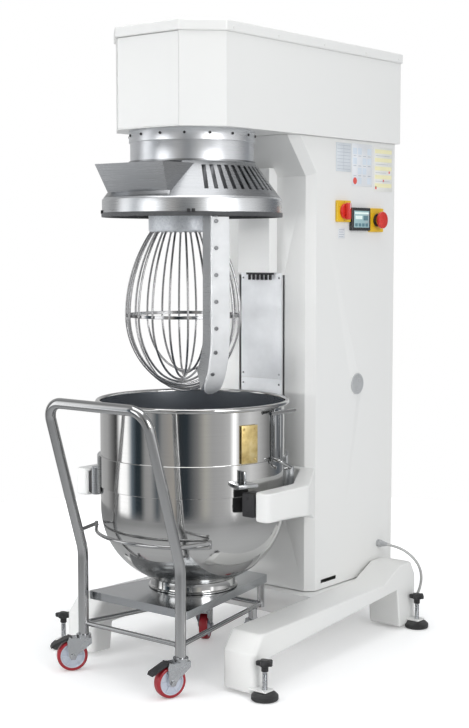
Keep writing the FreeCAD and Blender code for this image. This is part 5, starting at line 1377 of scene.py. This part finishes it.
def trolley():
    """The bent push handle, the rails, posts and welds, and the platform."""
    posts = [(0.2085, -0.303, 0.119), (0.2085, -0.303, 0.395), (0.2085, -0.455, 0.888),
             (-0.2085, -0.455, 0.888), (-0.2085, -0.303, 0.395), (-0.2085, -0.303, 0.119)]
    line = bent_line([rel(*p) for p in posts], [0.15, 0.062, 0.062, 0.15], 18)
    rods("push_handle", [line], 0.01685, 10, "trolley", "brushed_steel", "trolley_handle",
         material="tube_steel")
    arc = [around_axis(0.318, -140 + 100 * k / 40, 0.447) for k in range(41)]
    lines = [arc]
    for end in (arc[0], arc[-1]):
        side = 1 if end.x > 0 else -1
        lines.append([rel(side * 0.2085, -0.317, 0.461), end + Vector((0, 0, 0.014))])
        lines.append([end - Vector((0, 0, 0.004)), end + Vector((0, 0, 0.022))])
    rods("bowl_stop_rod", lines, 0.006, 7, "trolley", "brushed_steel", material="tube_steel")
    z = 0.155
    right, left = rel(0.2085, -0.303, z), rel(-0.2085, -0.303, z)
    back_right, back_left = rel(0.093, 0.246, z), rel(-0.093, 0.246, z)
    lines = [[left + Vector((0.0165, 0, 0)), right - Vector((0.0165, 0, 0))],
             [back_left, back_right]]
    for front, back in ((right, back_right), (left, back_left)):
        lines.append([front + (back - front).normalized() * 0.0165, back])
    rods("low_rails", lines, 0.008, 7, "trolley", "brushed_steel", "trolley_rails",
         material="tube_steel")
    form = bmesh.new()
    for spot in (back_right, back_left):
        top, low = 0.2515 - z, 0.143 - z
        lathe_into(form, [(0.0001, low), (0.011, low), (0.012, low + 0.001),
                          (0.012, top), (0.0001, top)], spot, steps=40, closed=False)
    for side in (1, -1):
        stem = rel(side * 0.110, 0.180, 0.119)
        lathe_into(form, [(0.0001, 0), (0.014, 0), (0.015, 0.001), (0.015, 0.0345),
                          (0.0001, 0.036)], stem, steps=40, closed=False)
    show("rear_posts", form, "trolley", "brushed_steel", material="tube_steel")
    form = bmesh.new()
    for front, back in ((right, back_right), (left, back_left)):
        way = (back - front).normalized()
        weld(form, front + way * 0.0172, way, 0.0078)
        weld(form, back - way * 0.0125, way, 0.0078)
        side = 1 if front.x > 0 else -1
        weld(form, front - Vector((side * 0.0172, 0, 0)), (1, 0, 0), 0.0078)
        weld(form, back - Vector((side * 0.0125, 0, 0)), (1, 0, 0), 0.0078)
    for end in (arc[0], arc[-1]):
        side = 1 if end.x > 0 else -1
        post = rel(side * 0.2085, -0.3185, 0.461)
        way = (end + Vector((0, 0, 0.014)) - post).normalized()
        weld(form, post + way * 0.008, way, 0.0058, 0.0024)
        weld(form, end + Vector((0, 0, 0.010)), UP, 0.0058, 0.0020)
    show("trolley_welds", form, "trolley", "brushed_steel", angle=60, material="wire_steel")
    softened("trolley_platform", 0.0014, 3, material="plate_steel")


CASTORS = {"front_right": (0.2085, -0.303, -109), "front_left": (-0.2085, -0.303, -128),
           "rear_right": (0.108, 0.180, 110), "rear_left": (-0.108, 0.180, 118)}


def castor(name, x, y, heading):
    """One castor: tyre, hub with ribs, fork, axle nuts and a front brake pedal."""
    turn = Matrix.Translation(rel(x, y, 0)) @ Matrix.Rotation(math.radians(heading), 4, "Z")
    centre = turn @ Vector((0.038, 0, 0.05))
    way = turn.to_3x3() @ Vector((0, 1, 0))
    tyre = [(0.0395, -0.0132), (0.0415, -0.0148), (0.0455, -0.0148), (0.0478, -0.0138),
            (0.0492, -0.0112), (0.0499, -0.006), (0.05, 0), (0.0499, 0.006),
            (0.0492, 0.0112), (0.0478, 0.0138), (0.0455, 0.0148), (0.0415, 0.0148),
            (0.0395, 0.0132)]
    lathe("tyre_" + name, tyre, centre, "wheel_" + name, "red_tyre", "castor_wheel_" + name,
          axis=way, steps=96)
    hub = [(0.0062, -0.018), (0.0125, -0.018), (0.014, -0.0165), (0.0145, -0.0095),
           (0.0175, -0.0070), (0.0335, -0.0065), (0.0362, -0.0110), (0.0376, -0.0138),
           (0.0394, -0.0138), (0.0394, 0.0138), (0.0376, 0.0138), (0.0362, 0.0110),
           (0.0335, 0.0065), (0.0175, 0.0070), (0.0145, 0.0095), (0.014, 0.0165),
           (0.0125, 0.018), (0.0062, 0.018)]
    lathe("hub_" + name, hub, centre, "wheel_" + name, "red_tyre", axis=way, steps=72,
          material="hub_plastic")
    form = bmesh.new()
    base = facing(centre, way)
    for k in range(6):
        rib = base @ Matrix.Rotation(TAU * k / 6, 4, "Z")
        for side in (1, -1):
            low, high = sorted((side * 0.0066, side * 0.0108))
            box_into(form, (0.0148, -0.0016, low), (0.0355, 0.0016, high), rib, bevel=0.0006)
    show("ribs_" + name, form, "wheel_" + name, "red_tyre", material="hub_plastic")
    softened("castor_fork_" + name, 0.0006, 2, material="zinc")
    spots = [(turn @ Vector((0.038, side * 0.0222, 0.05)), way * side) for side in (1, -1)]
    screws("axle_nuts_" + name, spots, 0.0085, 0.005, "fork_" + name, "zinc", socket=False)
    if name.startswith("front"):
        softened("brake_pedal_" + name, 0.0018, 3)


trolley()
for castor_name, spot in CASTORS.items():
    castor(castor_name, *spot)


# --- Controls and labels on the column's right side ----------------------

FACE = 0.2133


def flat_piece(name, tiles, x0, thick, slot, material, bevel=0.0):
    """Flat tiles of (y0, y1, z0, z1) on the column's right side."""
    form = bmesh.new()
    for y0, y1, z0, z1 in tiles:
        box_into(form, rel(x0, y0, z0), rel(x0 + thick, y1, z1), bevel=bevel)
    return show(name, form, "machine", slot, material=material)


def emissive(name, colour, power):
    """A glossy surface that glows a little, for the screen."""
    s = Shade(name)
    s.colour(s.mix(s.between(s.noise(30, 3), 0, 0.4), colour, tuple(c * 0.8 for c in colour)))
    return s.set(Roughness=0.12, Coat_Weight=0.6, Coat_Roughness=0.04,
                 Emission_Color=(*colour, 1), Emission_Strength=power)


M["screen_on"] = emissive("screen_on", (0.28, 0.42, 0.44), 0.35)
M["screen_bar"] = emissive("screen_bar", (0.62, 0.72, 0.70), 0.45)
M["screen_key"] = emissive("screen_key", (0.10, 0.20, 0.24), 0.2)
for label, base_tone in (("silver", (0.70, 0.74, 0.78)), ("white", (0.80, 0.83, 0.87)),
                         ("blue", (0.66, 0.73, 0.83)), ("grey", (0.42, 0.46, 0.52)),
                         ("red", (0.78, 0.10, 0.08)), ("yellow", (0.90, 0.84, 0.52)),
                         ("cream", (0.84, 0.84, 0.79))):
    M["label_" + label] = plastic("label_" + label, base_tone, (0.3, 0.4), 900, 0.02, 0.2)


def control_panel():
    """The main switch, the emergency stop and the screen."""
    softened("switch_plates", 0.0020, 3)
    y, z = 0.545, 1.491
    base_x = FACE + 0.009
    skirt = [(0.0001, 0.0004), (0.0255, 0.0004), (0.026, 0.001), (0.026, 0.0065),
             (0.0245, 0.0088), (0.0195, 0.0095), (0.0001, 0.0095)]
    lathe("rotary_skirt", skirt, rel(base_x, y, z), "rotary_knob", "red_plastic",
          "switch_knob", axis=TO_RIGHT, steps=80, closed=False)
    block("rotary_grip", rel(base_x + 0.0088, y - 0.0085, z - 0.0290),
          rel(base_x + 0.0255, y + 0.0085, z + 0.0290), 0.0040, "rotary_knob", "red_plastic",
          angle=50)
    block("rotary_mark", rel(base_x + 0.0252, y - 0.0012, z + 0.008),
          rel(base_x + 0.0258, y + 0.0012, z + 0.0275), 0.0002, "rotary_knob", "red_plastic",
          material="label_white")
    form = bmesh.new()
    for k in range(5):
        a = math.radians(-60 + 60 * k)
        place = rel(base_x, y + 0.0315 * math.sin(a), z + 0.0315 * math.cos(a))
        lathe_into(form, [(0.0001, 0.0), (0.0013, 0.0), (0.0013, 0.0003), (0.0001, 0.0003)],
                   place, TO_RIGHT, 12, closed=False)
    show("rotary_dots", form, "machine", "yellow_plastic", material="black_plastic")
    y, z = 0.750, 1.463
    cap = [(0.0001, 0.0085), (0.013, 0.0085), (0.013, 0.0178), (0.0265, 0.0180),
           (0.0292, 0.0192), (0.0300, 0.0216), (0.0298, 0.0255), (0.0285, 0.0288),
           (0.0240, 0.0308), (0.0150, 0.0318), (0.0001, 0.0320)]
    lathe("stop_mushroom", cap, rel(base_x, y, z), "stop_button", "red_plastic",
          "emergency_button", axis=TO_RIGHT, steps=96, closed=False)
    ring = [(0.0165, 0.0003), (0.0222, 0.0003), (0.0228, 0.0012), (0.0228, 0.0046),
            (0.0215, 0.0060), (0.0165, 0.0060)]
    lathe("stop_collar", ring, rel(base_x, y, z), "machine", "yellow_plastic", axis=TO_RIGHT,
          steps=80, material="black_plastic")
    y0, y1, z0, z1 = 0.589, 0.703, 1.425, 1.505
    softened("control_screen", 0.0022, 3)
    top_x = FACE + 0.014
    flat_piece("screen_field", [(y0 + 0.010, y1 - 0.010, z0 + 0.011, z1 - 0.011)],
               top_x - 0.0002, 0.0006, "screen_glass", "screen_on", 0.0001)
    flat_piece("screen_bars", [(y0 + 0.014, y1 - 0.014, z1 - 0.0225, z1 - 0.0160),
                               (y0 + 0.018, y0 + 0.060, z1 - 0.0400, z1 - 0.0280)],
               top_x + 0.0004, 0.0003, "screen_glass", "screen_bar")
    flat_piece("screen_keys", [(y0 + 0.016 + 0.0215 * k, y0 + 0.032 + 0.0215 * k,
                                z0 + 0.0145, z0 + 0.0255) for k in range(4)]
               + [(y0 + 0.068, y1 - 0.018, z1 - 0.0440, z1 - 0.0280)],
               top_x + 0.0004, 0.0003, "screen_glass", "screen_key")


def labels():
    """Plain information plates with generic blocks and rules in place of their text."""
    thick, ink = 0.0007, 0.0003

    def plate(name, spot, tone, deep=thick, bevel=0.0002):
        flat_piece(name, [spot], FACE, deep, "grey_plastic", "label_" + tone, bevel)

    def marks(name, tiles, tone, deep=thick):
        flat_piece(name, tiles, FACE + deep - 0.0001, ink, "grey_plastic", "label_" + tone)

    plate("plate_left", (0.506, 0.598, 1.627, 1.725), "silver", 0.0012, 0.0004)
    marks("plate_left_rules", [(0.512, 0.592, 1.7155 - 0.0115 * k, 1.7168 - 0.0115 * k)
                               for k in range(8)] + [(0.5505, 0.5515, 1.634, 1.716)],
          "grey", 0.0012)
    plate("sheet_middle", (0.603, 0.731, 1.580, 1.727), "white")
    marks("sheet_middle_blocks",
          [(0.609 + 0.030 * k, 0.633 + 0.030 * k, 1.690 - 0.034 * m, 1.712 - 0.034 * m)
           for m in range(4) for k in range(4) if (k + m) % 3 != 2], "blue")
    marks("sheet_middle_rules",
          [(0.612 + 0.030 * k, 0.630 + 0.030 * k, 1.6835 - 0.034 * m, 1.6855 - 0.034 * m)
           for m in range(3) for k in range(4)], "grey")
    lathe("sheet_dot", [(0.0001, 0), (0.012, 0), (0.012, 0.0004), (0.0001, 0.0004)],
          rel(FACE + thick - 0.0001, 0.622, 1.598), "machine", "grey_plastic",
          axis=TO_RIGHT, steps=40, closed=False, material="label_red")
    plate("sheet_right", (0.742, 0.863, 1.566, 1.721), "cream")
    marks("sheet_right_bars", [(0.748, 0.857, 1.700 - 0.030 * k, 1.714 - 0.030 * k)
                               for k in range(5)], "yellow")
    marks("sheet_right_rules", [(0.752, 0.845 - 0.012 * (k % 3), 1.691 - 0.030 * k,
                                 1.6925 - 0.030 * k) for k in range(4)], "grey")
    marks("sheet_right_marks", [(0.750, 0.760, 1.573, 1.583), (0.800, 0.808, 1.600, 1.608),
                                (0.838, 0.846, 1.631, 1.639)], "red")
    plate("small_tag", (0.522, 0.562, 1.398, 1.434), "white")
    marks("small_tag_rules", [(0.526, 0.558 - 0.006 * (k % 2), 1.4265 - 0.008 * k,
                               1.4285 - 0.008 * k) for k in range(4)], "grey")


def gland():
    """The cable gland: lock nut, domed nut and a ribbed bend relief."""
    profile = [(0.0001, 0.0), (0.0138, 0.0), (0.014, 0.0004), (0.014, 0.0052), (0.0118, 0.0062),
               (0.0118, 0.0068), (0.0132, 0.0074), (0.0136, 0.0110), (0.0122, 0.0150)]
    for k in range(6):
        z = 0.0165 + 0.0040 * k
        r = 0.0108 - 0.0009 * k
        profile += [(r, z), (r, z + 0.0022), (r - 0.0012, z + 0.0026), (r - 0.0012, z + 0.0038)]
    profile += [(0.0056, 0.0412), (0.0051, 0.0416)]
    lathe("gland_body", profile, rel(FACE, 0.791, 0.288), "machine", "grey_plastic",
          "cable_gland", axis=TO_RIGHT, steps=48, closed=False)


control_panel()
labels()
gland()


# --- What stays as the CAD model has it ---------------------------------

for node_name, thing in NODES.items():
    if thing.hide_render:
        continue
    finish_material = M[SLOT_OF[node_name]]
    smooth_by_angle(thing.data)
    for place in thing.material_slots:
        place.material = finish_material
